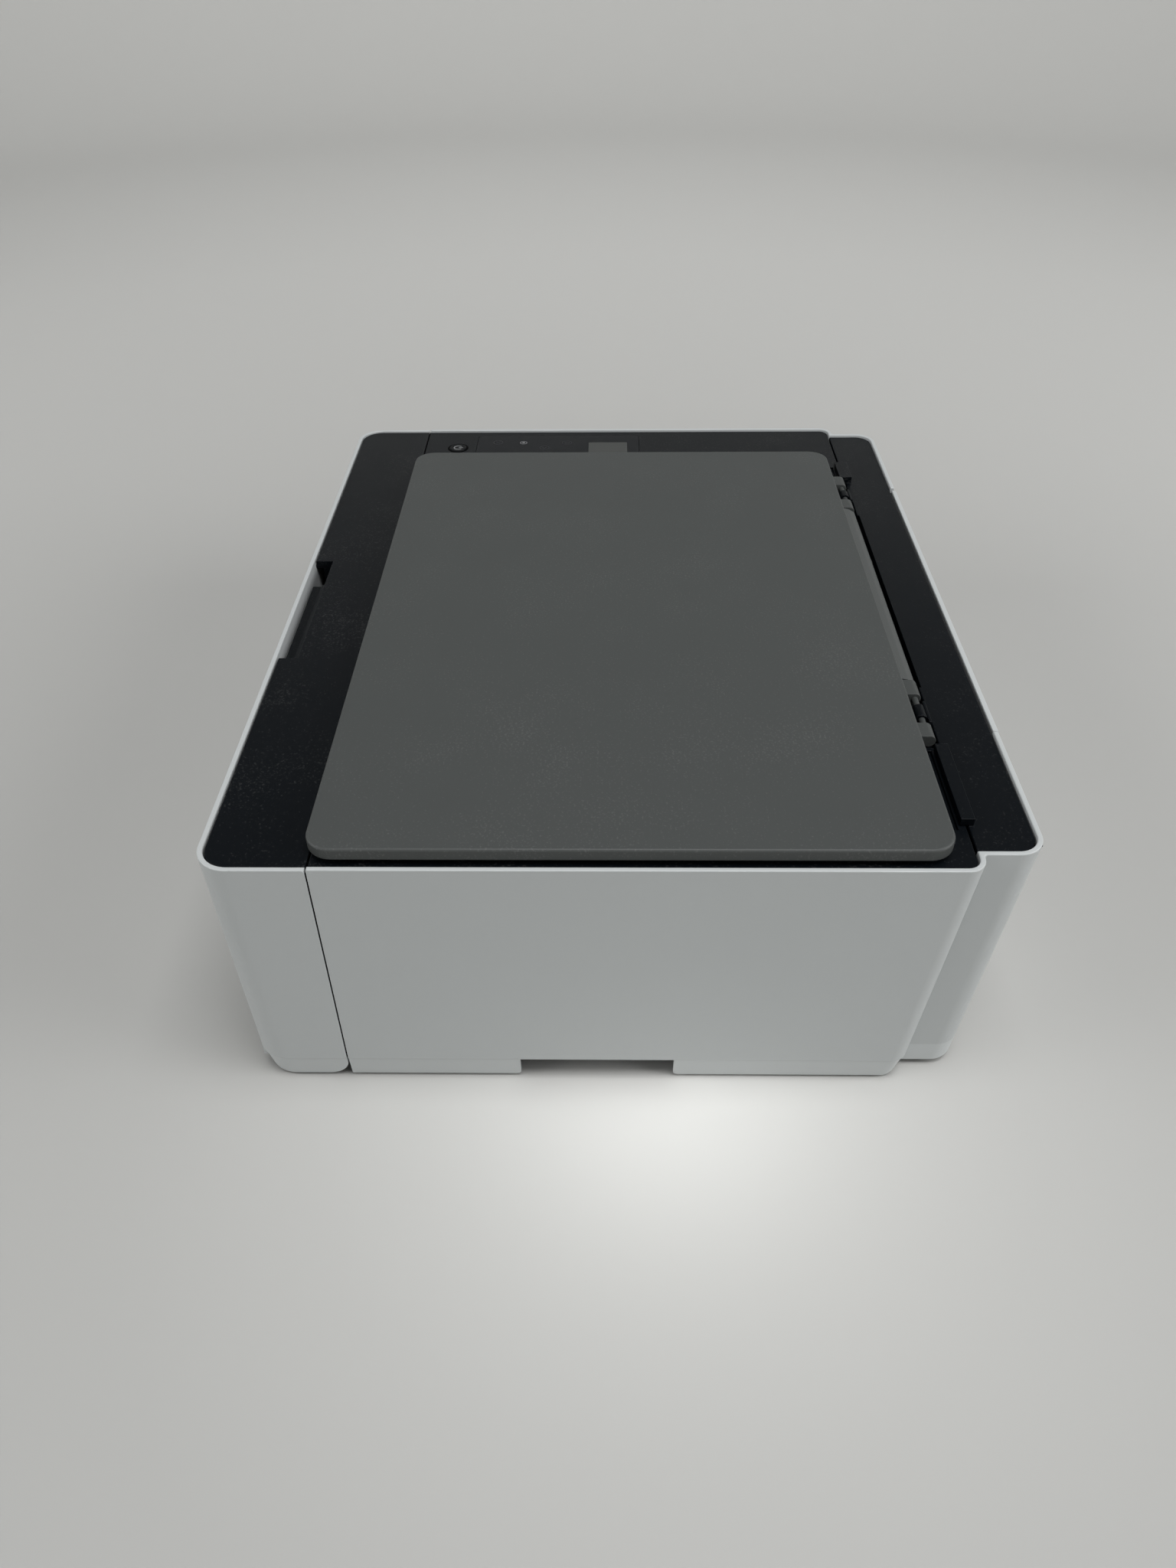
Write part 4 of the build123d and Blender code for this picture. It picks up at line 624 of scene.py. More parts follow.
def level_rings(outlines: Sequence[np.ndarray], heights: Sequence[float]) -> np.ndarray:
    """Outlines of equal length, each at its own Z, as one array of rings."""
    return np.stack([np.column_stack([line, np.full(len(line), z)]) for line, z in zip(outlines, heights)])


def prism_along_x(profile: np.ndarray, x0: float, x1: float) -> Skin:
    """Closed prism of a YZ profile, drawn anticlockwise seen from +X, between two X planes."""
    return ring_skin(np.stack([np.column_stack([np.full(len(profile), x), profile]) for x in (x0, x1)]))


def turned(x: float, y: float, profile: Sequence[Pair], steps: int) -> Skin:
    """Closed solid of revolution about an upright line: each (radius, height) pair makes a circle."""
    radii, heights = zip(*profile)
    return ring_skin(level_rings([circle(x, y, r, steps) for r in radii], heights))


def merge_parts(parts: Sequence[Skin]) -> Skin:
    """Several skins as one.

    Args:
        parts: The skins.

    Returns:
        All their points and faces.
    """
    vertices, faces, start = [], [], 0
    for points, corners in parts:
        vertices.append(points)
        faces += [[index + start for index in face] for face in corners]
        start += len(points)
    return np.concatenate(vertices), faces


def studs(node: str, places: Sequence[Pair], section: Sequence[Pair], steps: int) -> Skin:
    """Equal turned studs that fill the height of a CAD node.

    The section's last radius is carried up to the node's top.

    Args:
        node: The CAD node that they stand for.
        places: X and Y of each, in mm.
        section: Radius, and height above the node's foot, in mm.
        steps: Points on each circle.

    Returns:
        Points and faces.
    """
    low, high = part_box(node)
    profile = [(r * MM, low.z + z * MM) for r, z in section] + [(section[-1][0] * MM, high.z)]
    return merge_parts([turned(x * MM, y * MM, profile, steps) for x, y in places])


def band(path: np.ndarray, width: float, z0: float, z1: float, closed: bool = False) -> Skin:
    """Raised line of rectangular section along a level path.

    The two sides lie half the width to either side of the path, along its unit normal.

    Args:
        path: Points of the path, one row each.
        width: Width of the line.
        z0: Its underside.
        z1: Its top.
        closed: Whether the path joins up with its start.

    Returns:
        Points and faces.
    """
    if closed:
        run = np.roll(path, -1, axis=0) - np.roll(path, 1, axis=0)
    else:
        run = np.gradient(path, axis=0)
    run = run / np.linalg.norm(run, axis=1)[:, None]
    side = np.column_stack([-run[:, 1], run[:, 0]]) * width / 2
    edges = level_rings([path - side, path + side, path + side, path - side], [z0, z0, z1, z1])
    return ring_skin(edges.swapaxes(0, 1), closed)


@dataclass
class SubAssembly:
    """Something that makes its own pieces and finishes them from the shared shop."""

    shop: ShaderShop

    def build(self) -> None:
        """Make the pieces. Each kind of sub-assembly does this in its own way."""
        raise NotImplementedError

    def settle(self, piece: Piece, body: str, slot: str, *nodes: str) -> None:
        """Let a piece ride on its body, and hide the CAD nodes that it replaces.

        Args:
            piece: The piece.
            body: The body that it moves with.
            slot: Not used.
            nodes: CAD nodes that it replaces.
        """
        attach(piece, body)
        if nodes:
            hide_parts(*nodes)
        log.info("%s: %d faces, on %s", piece.name, len(piece.data.polygons), body)

    def add(self, name: str, skin: Skin, body: str, slot: str, finish: Finish, *nodes: str,
            smooth: bool = True) -> Piece:
        """Make, dress and settle a piece.

        Args:
            name: The piece's name.
            skin: Its points and faces.
            body: The body that it moves with.
            slot: The record's material slot.
            finish: Its finish.
            nodes: CAD nodes that it replaces.
            smooth: Whether its faces are shaded smooth.

        Returns:
            The piece.
        """
        piece = new_piece(name, skin, smooth)
        self.shop.dress(piece, finish)
        self.settle(piece, body, slot, *nodes)
        return piece


@dataclass
class MouldedPart(SubAssembly):
    """A CAD piece with its knife edges rounded, as a mould leaves them."""

    node: str
    piece: str
    slot: str
    edge: float
    weld: float = 0.002 * MM
    flat_angle: float = 0.4

    def build(self) -> None:
        """Copy the node's mesh, join its loose triangles, merge its flat faces and round its edges."""
        source = frame["nodes"][self.node].data
        points = np.zeros(len(source.vertices) * 3)
        source.vertices.foreach_get("co", points)
        corners = np.zeros(len(source.loops), np.int32)
        source.loops.foreach_get("vertex_index", corners)
        piece = new_piece(self.piece, (points.reshape(-1, 3), corners.reshape(-1, 3).tolist()))
        work = bmesh.new()
        work.from_mesh(piece.data)
        bmesh.ops.remove_doubles(work, verts=work.verts, dist=self.weld)
        bmesh.ops.dissolve_degenerate(work, edges=work.edges, dist=self.weld)
        bmesh.ops.dissolve_limit(work, verts=work.verts, edges=work.edges,
                                 angle_limit=math.radians(self.flat_angle))
        work.to_mesh(piece.data)
        work.free()
        piece.data.polygons.foreach_set("use_smooth", np.full(len(piece.data.polygons), True))
        soften(piece, self.edge)
        self.shop.dress(piece, NODE_FINISHES[self.node], SECOND_FINISHES.get(self.node))
        self.settle(piece, body_of_node(self.node), self.slot, self.node)


# CAD node, piece, material slot, and rounding of the edges in mm
MOULDED_PARTS: tuple[tuple[str, str, str, float], ...] = (
    ("main_shell", "case_wall", "case_white", 0.14),
    ("front_cover", "fold_down_front", "case_white", 0.14),
    ("rear_panel", "rear_wall", "case_white", 0.25),
    ("rear_door", "rear_flap", "case_white", 0.3),
    ("main_deck", "top_deck", "deck_black", 0.15),
    ("rear_deck", "rear_ledge", "deck_black", 0.25),
    ("front_top_strip", "front_ledge", "deck_black", 0.2),
    ("lid_hinge_brackets", "hinge_brackets", "deck_black", 0.3),
    ("touch_panel", "touch_plate", "panel_gloss", 0.05),
    ("front_bezel", "mouth_frame", "engine_dark", 0.3),
    ("base_pan", "floor_pan", "engine_dark", 0.25),
    ("power_inlet", "mains_inlet", "cartridge_black", 0.2),
    ("carriage", "cartridge_carrier", "engine_dark", 0.3),
    ("black_cartridge", "cartridge_black_ink", "cartridge_black", 0.6),
    ("colour_cartridge", "cartridge_colour_ink", "cartridge_black", 0.6),
    ("output_extension", "sheet_stop", "guide_grey", 0.25),
    ("left_width_guide", "left_guide", "guide_grey", 0.3),
    ("right_width_guide", "right_guide", "guide_grey", 0.3),
)


@dataclass
class ScannerLid(SubAssembly):
    """The lid: a shallow soft-edged shell with its hinge lugs, sloping rear lip, pad and bumpers."""

    edges: tuple[float, ...] = (-142.0 * MM, 186.0 * MM, -112.0 * MM, 117.5 * MM)
    foot: float = 121.8 * MM
    top: float = 127.0 * MM
    corner: float = 10.0 * MM
    least_corner: float = 1.0 * MM
    side: float = 2.2 * MM
    skin: float = 1.8 * MM
    fillet: float = 0.6 * MM
    top_round: float = 1.1 * MM
    foot_round: float = 0.7 * MM
    axis_y: float = 122.0 * MM
    axis_z: float = 121.0 * MM
    barrel: float = 2.6 * MM
    root: float = 1.5 * MM
    rod: float = 1.3 * MM
    rod_hold: float = 1.0 * MM
    lugs: tuple[Pair, ...] = (
        (77.8 * MM, 88.2 * MM), (107.6 * MM, 116.7 * MM), (-116.5 * MM, -106.2 * MM), (-89.1 * MM, -79.5 * MM))
    rods: tuple[Pair, ...] = ((88.2 * MM, 107.6 * MM), (-106.2 * MM, -89.1 * MM))
    lip: Pair = (-78.6 * MM, 76.9 * MM)
    lip_ease: float = 0.5 * MM
    lip_section: tuple[Pair, ...] = (
        (116.0, 122.4), (120.8, 121.4), (124.4, 120.0), (124.4, 121.2), (121.4, 123.0), (116.0, 124.2))
    pad_edges: tuple[float, ...] = (-117.0 * MM, 179.0 * MM, -103.0 * MM, 111.0 * MM)
    pad_low: float = 119.7 * MM
    pad_corner: float = 2.5 * MM
    pad_bulge: float = 1.4 * MM
    pad_flat: float = 30.0 * MM
    pad_fill: float = 0.9
    edge: float = 0.2 * MM
    lip_edge: float = 0.1 * MM
    sharp_angle: float = 50.0
    bumpers: tuple[Pair, ...] = ((-130.0, -107.2), (170.0, -107.2), (-130.0, 109.5))
    bumper_section: tuple[Pair, ...] = ((1.5, 0.0), (1.9, 0.1), (2.2, 0.6))

    @property
    def ceiling(self) -> float:
        """Height of the lid's inner face."""
        return self.top - self.skin

    def outline(self, inset: float) -> np.ndarray:
        """Outline of the lid, drawn in by an inset."""
        return rounded_rectangle(self.edges, inset, max(self.corner - inset, self.least_corner), steps=12)

    def shell(self) -> Skin:
        """Skin from the ceiling inside, down the inner wall, round the foot and up to the soft top edge.

        Its section follows (inset, height) pairs: the foot and the top edge are quarter rounds, in which
        the inset goes as 1 - sin t or 1 - cos t, and the height as 1 - cos t or 1 - sin t.
        """
        turn = np.linspace(0.0, math.pi / 2, num=7)
        from_level, from_upright = 1 - np.sin(turn), 1 - np.cos(turn)
        insets = np.concatenate([[self.side + self.fillet, self.side, self.side],
                                 self.foot_round * from_level, self.top_round * from_upright])
        heights = np.concatenate([[self.ceiling, self.ceiling - self.fillet, self.foot],
                                  self.foot + self.foot_round * from_upright,
                                  self.top - self.top_round * from_level])
        return ring_skin(level_rings([self.outline(inset) for inset in insets], heights))

    def lug(self, x0: float, x1: float) -> Skin:
        """One hinge lug: a bar that ends in a barrel about the hinge line."""
        start = self.edges[3] - self.root
        barrel = around(self.axis_y, self.axis_z, self.barrel, np.linspace(-math.pi, math.pi / 2, num=25))
        bar = np.array([(start, self.axis_z + self.barrel), (start, self.axis_z)])
        return prism_along_x(np.concatenate([bar, barrel]), x0, x1)

    def pad(self) -> Skin:
        """Foam pad under the lid: flat on the glass, with edges that round over in a half circle.

        The outline at angle t is drawn in by the bulge times 1 - cos t, at a height that goes as sin t.
        """
        half = (self.ceiling - self.pad_low) / 2
        turn = np.linspace(-math.pi / 2, math.pi / 2, num=11)
        insets = [self.pad_flat, *(self.pad_bulge * (1 - np.cos(turn))), self.pad_flat]
        heights = [self.pad_low, *(self.pad_low + half * (1 + np.sin(turn))), self.ceiling]
        outlines = [rounded_rectangle(self.pad_edges, inset, self.pad_corner, steps=6) for inset in insets]
        return ring_skin(level_rings(outlines, heights))

    def build(self) -> None:
        """Build and dress the lid, its rear lip, its pad and its bumpers."""
        rod = circle(self.axis_y, self.axis_z, self.rod, steps=24)
        parts = [self.shell()] + [self.lug(*span) for span in self.lugs]
        parts += [prism_along_x(rod, x0 - self.rod_hold, x1 + self.rod_hold) for x0, x1 in self.rods]
        cover = self.add("lid_shell", merge_parts(parts), "lid", "lid_grey", LID_GREY, "lid_cover")
        soften(cover, self.edge, angle=self.sharp_angle)
        section = rounded_profile(np.array(self.lip_section) * MM, self.lip_ease)
        # The rear lip takes the lid's grey painted lighter: a painted highlight
        lip = self.add("lid_rear_lip", prism_along_x(section, *self.lip), "lid", "lid_grey", LIP_GREY_PAINTED_LIGHT)
        soften(lip, self.lip_edge, 1, self.sharp_angle)
        pad = self.add("document_pad", self.pad(), "lid", "pad_white", PAD_FILM, "lid_pad")
        flatten_normals(pad, keep_sharp=False)
        self.add("bumper_buttons", studs("lid_bumpers", self.bumpers, self.bumper_section, steps=24), "lid",
                 "foot_rubber", FOOT_RUBBER, "lid_bumpers")


@dataclass
class PowerKey(SubAssembly):
    """The round power button and the plain mark on it."""

    x: float = -164.5 * MM
    y: float = -91.9 * MM
    r: float = 4.9 * MM
    top: float = 119.9 * MM
    edge: float = 0.5 * MM
    dish_outer: float = 3.9 * MM
    dish_inner: float = 0.6 * MM
    dish_depth: float = 0.22 * MM
    mark_r: float = 2.3 * MM
    mark_gap: float = 38.0
    bar_start: float = 0.35 * MM
    bar_end: float = 2.75 * MM
    line: float = 0.72 * MM
    mark_low: float = 119.7 * MM
    mark_high: float = 119.8 * MM
    groove_inner: float = 5.25 * MM
    groove_outer: float = 6.1 * MM
    groove_low: float = 119.1 * MM
    groove_high: float = 119.42 * MM

    def cap(self) -> Skin:
        """Button with a rim that is a quarter round, and a shallow dish.

        The dish lies its depth times 1 - (r / R)^2 under the top, where R is the rim's inner radius.
        """
        low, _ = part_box("power_button")
        inner = self.r - self.edge
        rim = around(inner, self.top - self.edge, self.edge, np.linspace(0.0, math.pi / 2, num=6))
        radii = np.linspace(self.dish_outer, self.dish_inner, num=8)
        dish = self.top - self.dish_depth * (1 - (radii / inner) ** 2)
        return turned(self.x, self.y, [(self.r, low.z), *rim, *zip(radii, dish)], steps=64)

    def mark(self) -> Skin:
        """Open ring with an upright bar in its gap.

        The ring starts at the gap's left side, counted in degrees from +X, and runs round to its right side.
        """
        turn = np.radians(np.linspace(90.0 + self.mark_gap, 450.0 - self.mark_gap, num=41))
        bar = np.array([(self.x, self.y + self.bar_start), (self.x, self.y + self.bar_end)])
        return merge_parts([band(path, self.line, self.mark_low, self.mark_high)
                            for path in (around(self.x, self.y, self.mark_r, turn), bar)])

    def groove(self) -> Skin:
        """Near-black ring in the gap round the button's hole in the deck: painted shade in the gap."""
        path = circle(self.x, self.y, (self.groove_outer + self.groove_inner) / 2, steps=64)
        return band(path, self.groove_outer - self.groove_inner, self.groove_low, self.groove_high, True)

    def build(self) -> None:
        """Build and dress the button, its mark and the ring round it."""
        # A near-black ring in the button's gap: painted shade
        self.add("power_key_gap_shade", self.groove(), "base", "deck_black", GAP_SHADE_BLACK, smooth=False)
        self.add("power_key", self.cap(), "power_button", "button_black", BUTTON_BLACK, "power_button")
        self.add("power_key_mark", self.mark(), "power_button", "guide_grey", SYMBOL_LIGHT, smooth=False)


class RingShape(Enum):
    """The plain shapes that stand in the rings, as lines through points from -1 to 1."""

    CROSS = (((-1.0, -1.0), (1.0, 1.0)), ((-1.0, 1.0), (1.0, -1.0)))
    ARROW = (((-0.7, 1.0), (0.8, 0.0), (-0.7, -1.0)),)
    PAGE = (((-0.8, -1.0), (0.8, -1.0), (0.8, 1.0), (-0.8, 1.0), (-0.8, -1.0)),)


@dataclass
class TouchMarks(SubAssembly):
    """Plain marks on the touch panel, barely lighter than it, and one lit dot."""

    low: float = 119.3 * MM
    high: float = 119.52 * MM
    line: float = 0.35 * MM
    ring_r: float = 2.7 * MM
    shape_share: float = 0.45
    rings: tuple[tuple[float, float, RingShape], ...] = (
        (-172.2, -69.0, RingShape.CROSS), (-164.6, -41.5, RingShape.ARROW), (-171.5, -28.5, RingShape.PAGE))
    dot: Pair = (-171.6 * MM, -54.0 * MM)
    dot_r: float = 0.9 * MM
    dot_ring_r: float = 1.9 * MM
    dot_line: float = 0.4 * MM

    def ring_mark(self, x: float, y: float, shape: RingShape) -> list[Skin]:
        """A ring with a plain shape in it.

        Args:
            x: Centre X in mm.
            y: Centre Y in mm.
            shape: The shape.

        Returns:
            Skins of the mark.
        """
        centre = np.array([x, y]) * MM
        lines = [centre + self.ring_r * self.shape_share * np.array(line) for line in shape.value]
        ring = band(circle(*centre, self.ring_r, steps=40), self.line, self.low, self.high, closed=True)
        return [ring] + [band(line, self.line, self.low, self.high) for line in lines]

    def build(self) -> None:
        """Build and dress the marks."""
        marks = merge_parts([skin for ring in self.rings for skin in self.ring_mark(*ring)])
        self.add("touch_marks", marks, "base", "panel_gloss", SYMBOL_GREY, smooth=False)
        ring = circle(*self.dot, self.dot_ring_r, steps=32)
        dot = merge_parts([turned(*self.dot, [(self.dot_r, self.low), (self.dot_r, self.high)], steps=24),
                           band(ring, self.dot_line, self.low, self.high, closed=True)])
        self.add("touch_dot", dot, "base", "panel_gloss", SYMBOL_LIGHT, smooth=False)


class BeltPlane(Enum):
    """The plane in which a belt runs, by the axis across the belt and the axis of its loop's height."""

    UPRIGHT = (1, 2)
    LEVEL = (2, 1)


@dataclass
class ToothedBelt(SubAssembly):
    """A closed toothed belt round two equal pulleys."""

    node: str
    piece: str
    plane: BeltPlane
    thickness: float
    pitch: float = 2.0 * MM
    samples: int = 4
    gap_share: float = 0.62

    def skin(self) -> Skin:
        """The belt in the space of its CAD node.

        The path is two straight runs and two half circles, by length along it. The outer face lies on the
        path, and the inner face lies the belt's thickness inside it, or less of it between two teeth.
        """
        low, high = (np.array(corner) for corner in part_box(self.node))
        across, tall = self.plane.value
        r, middle = (high[tall] - low[tall]) / 2, (high[tall] + low[tall]) / 2
        left, right = low[0] + r, high[0] - r
        straight, arc = right - left, math.pi * r
        total = 2 * (straight + arc)
        count = int(round(total / self.pitch)) * self.samples
        at = (np.arange(count) + 0.5) / count * total
        marks = np.array([straight, straight + arc, 2 * straight + arc])
        stage = np.searchsorted(marks, at)
        turn = np.select([stage == 1, stage == 3],
                         [(at - marks[0]) / r - math.pi / 2, (at - marks[2]) / r + math.pi / 2],
                         np.where(stage == 0, -math.pi / 2, math.pi / 2))
        middle_x = np.select([stage == 0, stage == 1, stage == 2],
                             [left + at, right, right - (at - marks[1])], left)
        tooth = np.arange(count) % self.samples < self.samples // 2
        depth = np.where(tooth, self.thickness, self.thickness * self.gap_share)
        outer, inner = around(middle_x, middle, r, turn), around(middle_x, middle, r - depth, turn)
        rings = np.zeros((count, 4, 3))
        for corner, (line, level) in enumerate(((outer, low), (outer, high), (inner, high), (inner, low))):
            rings[:, corner, 0] = line[:, 0]
            rings[:, corner, tall] = line[:, 1]
            rings[:, corner, across] = level[across]
        return ring_skin(rings if self.plane is BeltPlane.UPRIGHT else rings[:, ::-1], joined=True)

    def build(self) -> None:
        """Build and dress the belt."""
        self.add(self.piece, self.skin(), body_of_node(self.node), "belt_rubber", BELT_RUBBER,
                 self.node, smooth=False)


@dataclass
class SeamShadeBacking(SubAssembly):
    """Near-black lips in the seam round the front section, where the inner frame lies behind it: painted shade
    that keeps the gap dark.
    """

    y: float = -110.9 * MM
    half: float = 0.2 * MM
    low: float = 14.0 * MM
    high: float = 118.4 * MM
    inner: float = 187.6 * MM
    outer: float = 189.15 * MM
    deck_low: float = 117.5 * MM
    deck_high: float = 118.7 * MM
    deck_end: float = 187.3 * MM

    def lip(self, z0: float, z1: float, x0: float, x1: float) -> Skin:
        """One lip between two heights and two places along X."""
        y0, y1 = self.y - self.half, self.y + self.half
        return prism_along_x(np.array([(y0, z0), (y1, z0), (y1, z1), (y0, z1)]), x0, x1)

    def build(self) -> None:
        """Build and dress the two side lips and the one under the deck's seam."""
        lips = [self.lip(self.low, self.high, self.inner, self.outer),
                self.lip(self.low, self.high, -self.outer, -self.inner),
                self.lip(self.deck_low, self.deck_high, -self.deck_end, self.deck_end)]
        # Near black: painted shade in the seams
        self.add("seam_shade_backing", merge_parts(lips), "base", "engine_dark", GAP_SHADE_BLACK, smooth=False)


@dataclass
class CaseScrews(SubAssembly):
    """Pan-head screws with a cross recess, under the floor."""

    places: tuple[Pair, ...] = ((-150.0, 40.0), (150.0, 84.0), (-150.0, -70.0), (150.0, -70.0))
    recess: float = 1.5 * MM
    waist: float = 0.42
    recess_depth: float = 0.9 * MM
    head: tuple[Pair, ...] = ((2.2, 0.0), (2.9, 0.35), (3.2, 0.9), (3.2, 1.6), (1.5, 1.6))
    shank: float = 1.5 * MM
    steps: int = 64
    edge: float = 0.05 * MM
    sharp_angle: float = 40.0

    def screw(self, x: float, y: float, low: float, high: float) -> Skin:
        """One screw: a recess whose rim goes in and out four times, a domed head, its seat and the shank.

        The recess radius at angle a is its greatest one times w + (1 - w) |cos 2a|^6, where w is the share
        of it that is left between the arms, so it makes a cross.

        Args:
            x: X of its axis.
            y: Y of its axis.
            low: Foot of the head.
            high: Tip of the shank.

        Returns:
            Points and faces.
        """
        turn = np.linspace(0.0, 2 * math.pi, self.steps, endpoint=False)
        cross = self.recess * (self.waist + (1 - self.waist) * np.abs(np.cos(2 * turn)) ** 6)
        radii = [cross / 2, cross, *(r * MM for r, _ in self.head), self.shank]
        heights = [low + self.recess_depth, low, *(low + z * MM for _, z in self.head), high]
        return ring_skin(level_rings([around(x, y, r, turn) for r in radii], heights))

    def build(self) -> None:
        """Build and dress the four screws."""
        low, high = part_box("case_screws")
        screws = merge_parts([self.screw(x * MM, y * MM, low.z, high.z) for x, y in self.places])
        piece = self.add("pan_screws", screws, "base", "plain_steel", PLAIN_STEEL, "case_screws")
        soften(piece, self.edge, 1, self.sharp_angle)


@dataclass
class RubberFeet(SubAssembly):
    """Round feet with an eased edge and two raised rings underneath."""

    places: tuple[Pair, ...] = ((-148.0, -88.0), (148.0, -88.0), (-148.0, 104.0), (148.0, 104.0))
    section: tuple[Pair, ...] = (
        (1.5, 0.35), (3.2, 0.35), (3.5, 0.0), (4.6, 0.0), (4.9, 0.35), (5.7, 0.35), (6.0, 0.0), (7.2, 0.0),
        (7.75, 0.25), (8.0, 0.8))
    edge: float = 0.12 * MM
    sharp_angle: float = 25.0

    def build(self) -> None:
        """Build and dress the feet."""
        feet = studs("rubber_feet", self.places, self.section, steps=48)
        piece = self.add("soft_feet", feet, "base", "foot_rubber", FOOT_RUBBER, "rubber_feet")
        soften(piece, self.edge, angle=self.sharp_angle)


@dataclass(frozen=True)
class SoftLamp:
    """A soft square lamp: where it hangs, the point it faces, its side in metres and its watts."""

    name: str
    place: Triple
    aim: Triple
    size: float
    power: float

    def build(self) -> None:
        """Hang the lamp. Its axes are the unit vectors of side, up and back, with the side level."""
        data = bpy.data.lights.new(self.name, "AREA")
        data.shape = "SQUARE"
        data.size = self.size
        data.energy = self.power
        back = np.array(self.place) - np.array(self.aim)
        back /= np.linalg.norm(back)
        side = np.cross((0.0, 1.0, 0.0), back)
        side /= np.linalg.norm(side)
        place_object(self.name, data, np.column_stack([side, np.cross(back, side), back]), self.place)


def place_object(name: str, data: bpy.types.ID, axes: np.ndarray, place: Triple) -> Piece:
    """Put a lamp or camera in the scene.

    Args:
        name: Its name.
        data: The lamp or camera.
        axes: Its X, Y and Z axes as columns.
        place: Where it is.

    Returns:
        The object.
    """
    made = bpy.data.objects.new(name, data)
    made.matrix_world = Matrix([[*row, shift] for row, shift in zip(axes, place)] + [[0.0, 0.0, 0.0, 1.0]])
    bpy.context.scene.collection.objects.link(made)
    return made


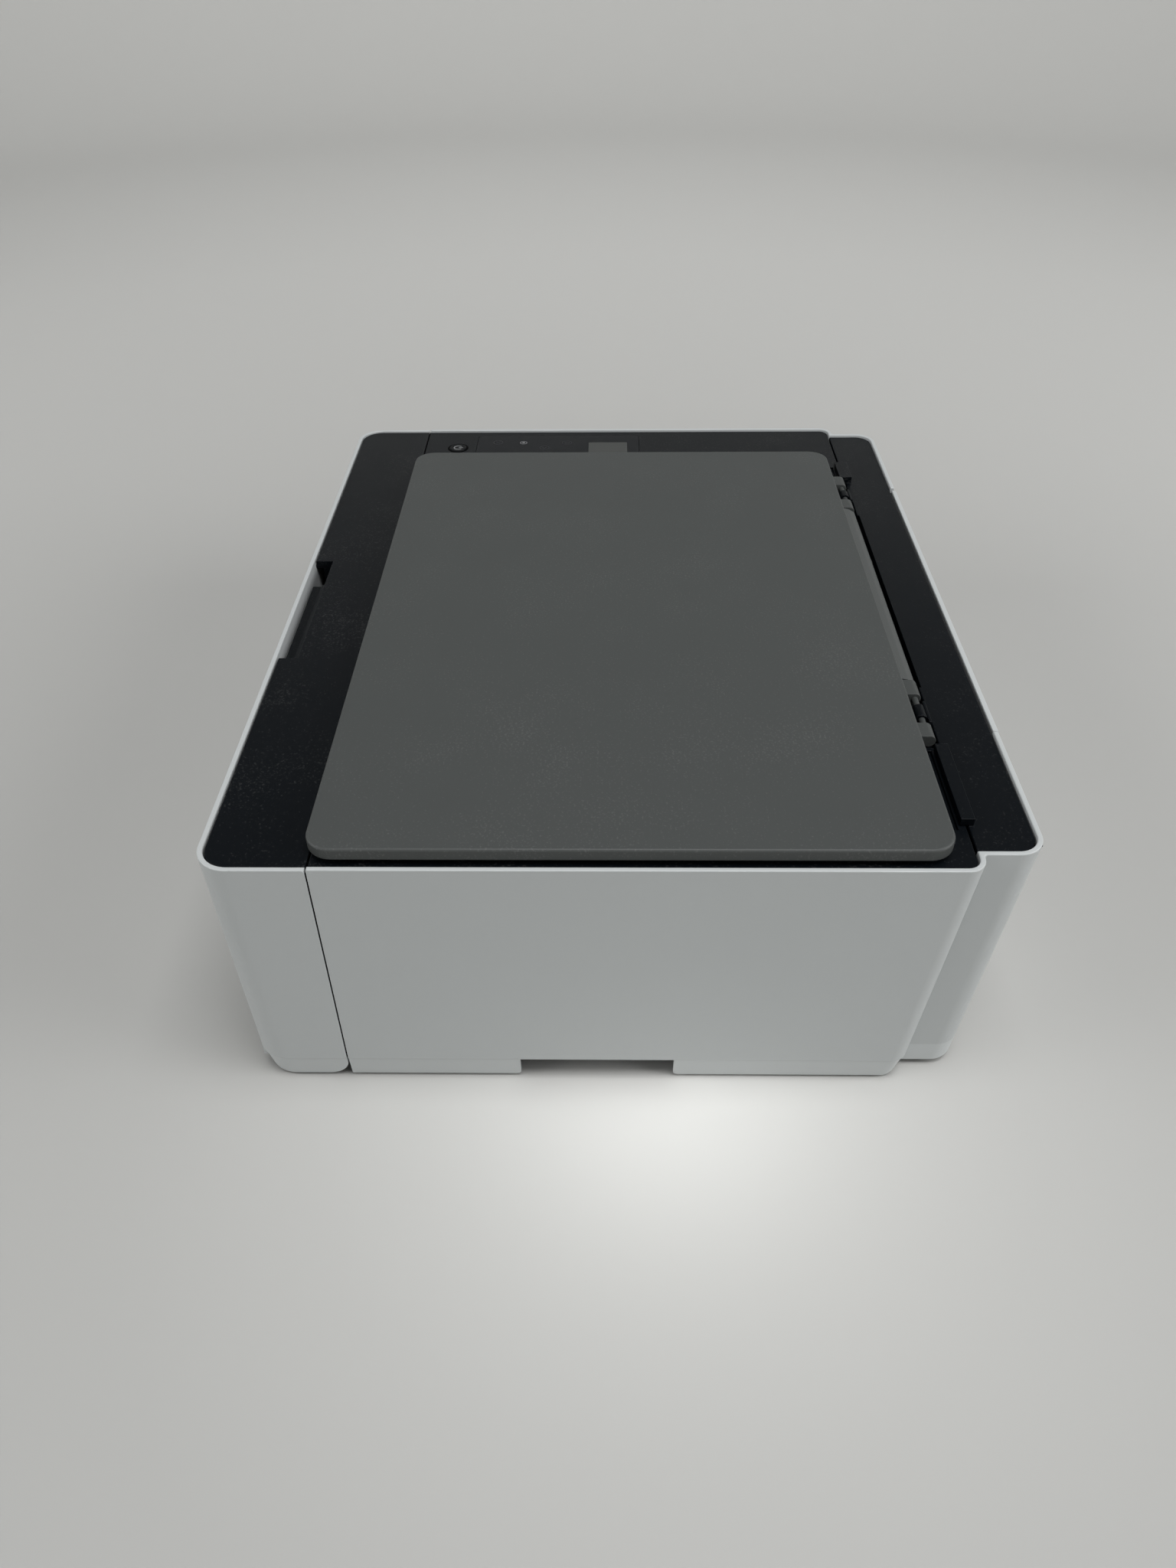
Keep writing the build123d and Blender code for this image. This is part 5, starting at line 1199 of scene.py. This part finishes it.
@dataclass
class Studio(SubAssembly):
    """Round floor with painted light falloff that curves up into a backdrop, soft lamps and the camera."""

    inner_radius: float = 0.02
    flat_radius: float = 1.7
    bend_radius: float = 0.7
    wall_height: float = 1.15
    floor_steps: int = 96
    # Painted light on the floor: bright beside the printer, painted shade further out, lighter again towards
    # the backdrop
    painted_light_centre: Triple = (0.20, 0.02, 0.0)
    painted_light_tones: tuple[Pair, ...] = (
        (0.02, 0.72), (0.06, 0.59), (0.10, 0.51), (0.14, 0.48), (0.22, 0.42), (0.42, 0.42), (0.75, 0.49),
        (1.2, 0.56), (2.3, 0.58))
    lamps: tuple[SoftLamp, ...] = (
        SoftLamp("top_lamp", (0.50, 0.26, 2.15), (0.12, 0.05, 0.0), 1.1, 30.0),
        SoftLamp("rear_side_lamp", (0.45, 1.55, 0.95), (0.1, 0.12, 0.05), 1.0, 16.0),
        SoftLamp("front_side_lamp", (0.45, -1.55, 0.95), (0.1, -0.12, 0.05), 1.0, 10.5),
        SoftLamp("backdrop_lamp", (-0.9, 0.0, 1.5), (-2.4, 0.0, 0.6), 1.0, 9.0))
    sky_tint: tuple[float, ...] = (0.97, 0.985, 1.0, 1.0)
    sky_strength: float = 0.30
    zenith_share: float = 0.12
    fade_start: float = 0.35
    fade_end: float = 0.7
    camera_place: Triple = (0.47924, -0.00555, 0.40228)
    right: Triple = (-0.012489, 0.999883, -0.008845)
    down: Triple = (0.641654, 0.001229, -0.766993)
    forward: Triple = (-0.766892, -0.015254, -0.641595)
    focal_px: float = 1512.4
    image_long_side: float = 2048.0
    sensor: float = 36.0
    near_clip: float = 0.01

    def floor(self) -> None:
        """Build the floor as a surface of revolution: flat, then a quarter bend, then a straight wall."""
        flat = np.linspace(self.inner_radius, self.flat_radius, num=24)
        bend = np.linspace(0.0, math.pi / 2, num=16)[1:]
        radii = [*flat, *(self.flat_radius + self.bend_radius * np.sin(bend)),
                 self.flat_radius + self.bend_radius]
        heights = [*np.zeros(len(flat)), *(self.bend_radius * (1 - np.cos(bend))), self.wall_height]
        rings = level_rings([circle(0.0, 0.0, r, self.floor_steps) for r in radii], heights)
        upward = cells(len(radii), self.floor_steps)[:, [0, 3, 2, 1]].tolist()
        piece = new_piece("studio_floor", (rings.reshape(-1, 3), [list(range(self.floor_steps))] + upward))
        self.shop.dress(piece, FLOOR_PAPER)
        # The floor's grey is painted light and shade, falling off from a point by the printer
        self.shop.paint_light_falloff(self.shop.material(FLOOR_PAPER), self.painted_light_centre, self.painted_light_tones)

    def sky(self) -> None:
        """Plain grey world, darker overhead than at the horizon."""
        world = bpy.data.worlds.new("studio_air")
        bpy.context.scene.world = world
        world.use_nodes = True
        wire = Wiring(world.node_tree)
        background = world.node_tree.nodes["Background"].inputs
        background["Color"].default_value = self.sky_tint
        fade = wire.node("MapRange", {
            "Value": wire.height(wire.node("TexCoord").outputs["Generated"]),
            "From Min": self.fade_start, "From Max": self.fade_end,
            "To Min": self.sky_strength, "To Max": self.sky_strength * self.zenith_share})
        wire.feed(background["Strength"], fade.outputs["Result"])

    def camera(self) -> None:
        """Place the camera at the photograph's viewpoint."""
        data = bpy.data.cameras.new("view")
        data.sensor_width = self.sensor
        data.lens = self.focal_px / self.image_long_side * self.sensor
        data.clip_start = self.near_clip
        axes = np.column_stack([self.right, -np.array(self.down), -np.array(self.forward)])
        bpy.context.scene.camera = place_object("view", data, axes, self.camera_place)

    def build(self) -> None:
        """Make the whole studio."""
        self.floor()
        for lamp in self.lamps:
            lamp.build()
        self.sky()
        self.camera()
        bpy.context.scene.view_settings.view_transform = "Standard"
        log.info("studio: floor, %d lamps and the camera", len(self.lamps))


def dress_frame(shop: ShaderShop) -> None:
    """Give every CAD node that still shows its material.

    Args:
        shop: Where the finishes come from.
    """
    shown = {name: node for name, node in frame["nodes"].items() if not node.hide_render}
    for name, node in shown.items():
        shop.dress(node, NODE_FINISHES[name], SECOND_FINISHES.get(name))
    log.info("%d CAD nodes keep their own shape", len(shown))


def main() -> None:
    """Build and dress the printer and its studio."""
    logging.basicConfig(level=logging.INFO, format="%(name)s: %(message)s")
    shop = ShaderShop()
    parts: list[SubAssembly] = [MouldedPart(shop, *names, edge * MM) for *names, edge in MOULDED_PARTS]
    parts += [ScannerLid(shop), PowerKey(shop), TouchMarks(shop),
              ToothedBelt(shop, "carriage_belt", "carriage_toothed_belt", BeltPlane.UPRIGHT,
                          thickness=1.0 * MM),
              ToothedBelt(shop, "scan_belt", "scan_toothed_belt", BeltPlane.LEVEL, thickness=0.8 * MM),
              SeamShadeBacking(shop), CaseScrews(shop), RubberFeet(shop)]
    for part in parts:
        part.build()
    dress_frame(shop)
    Studio(shop).build()


if __name__ == "__main__":
    main()
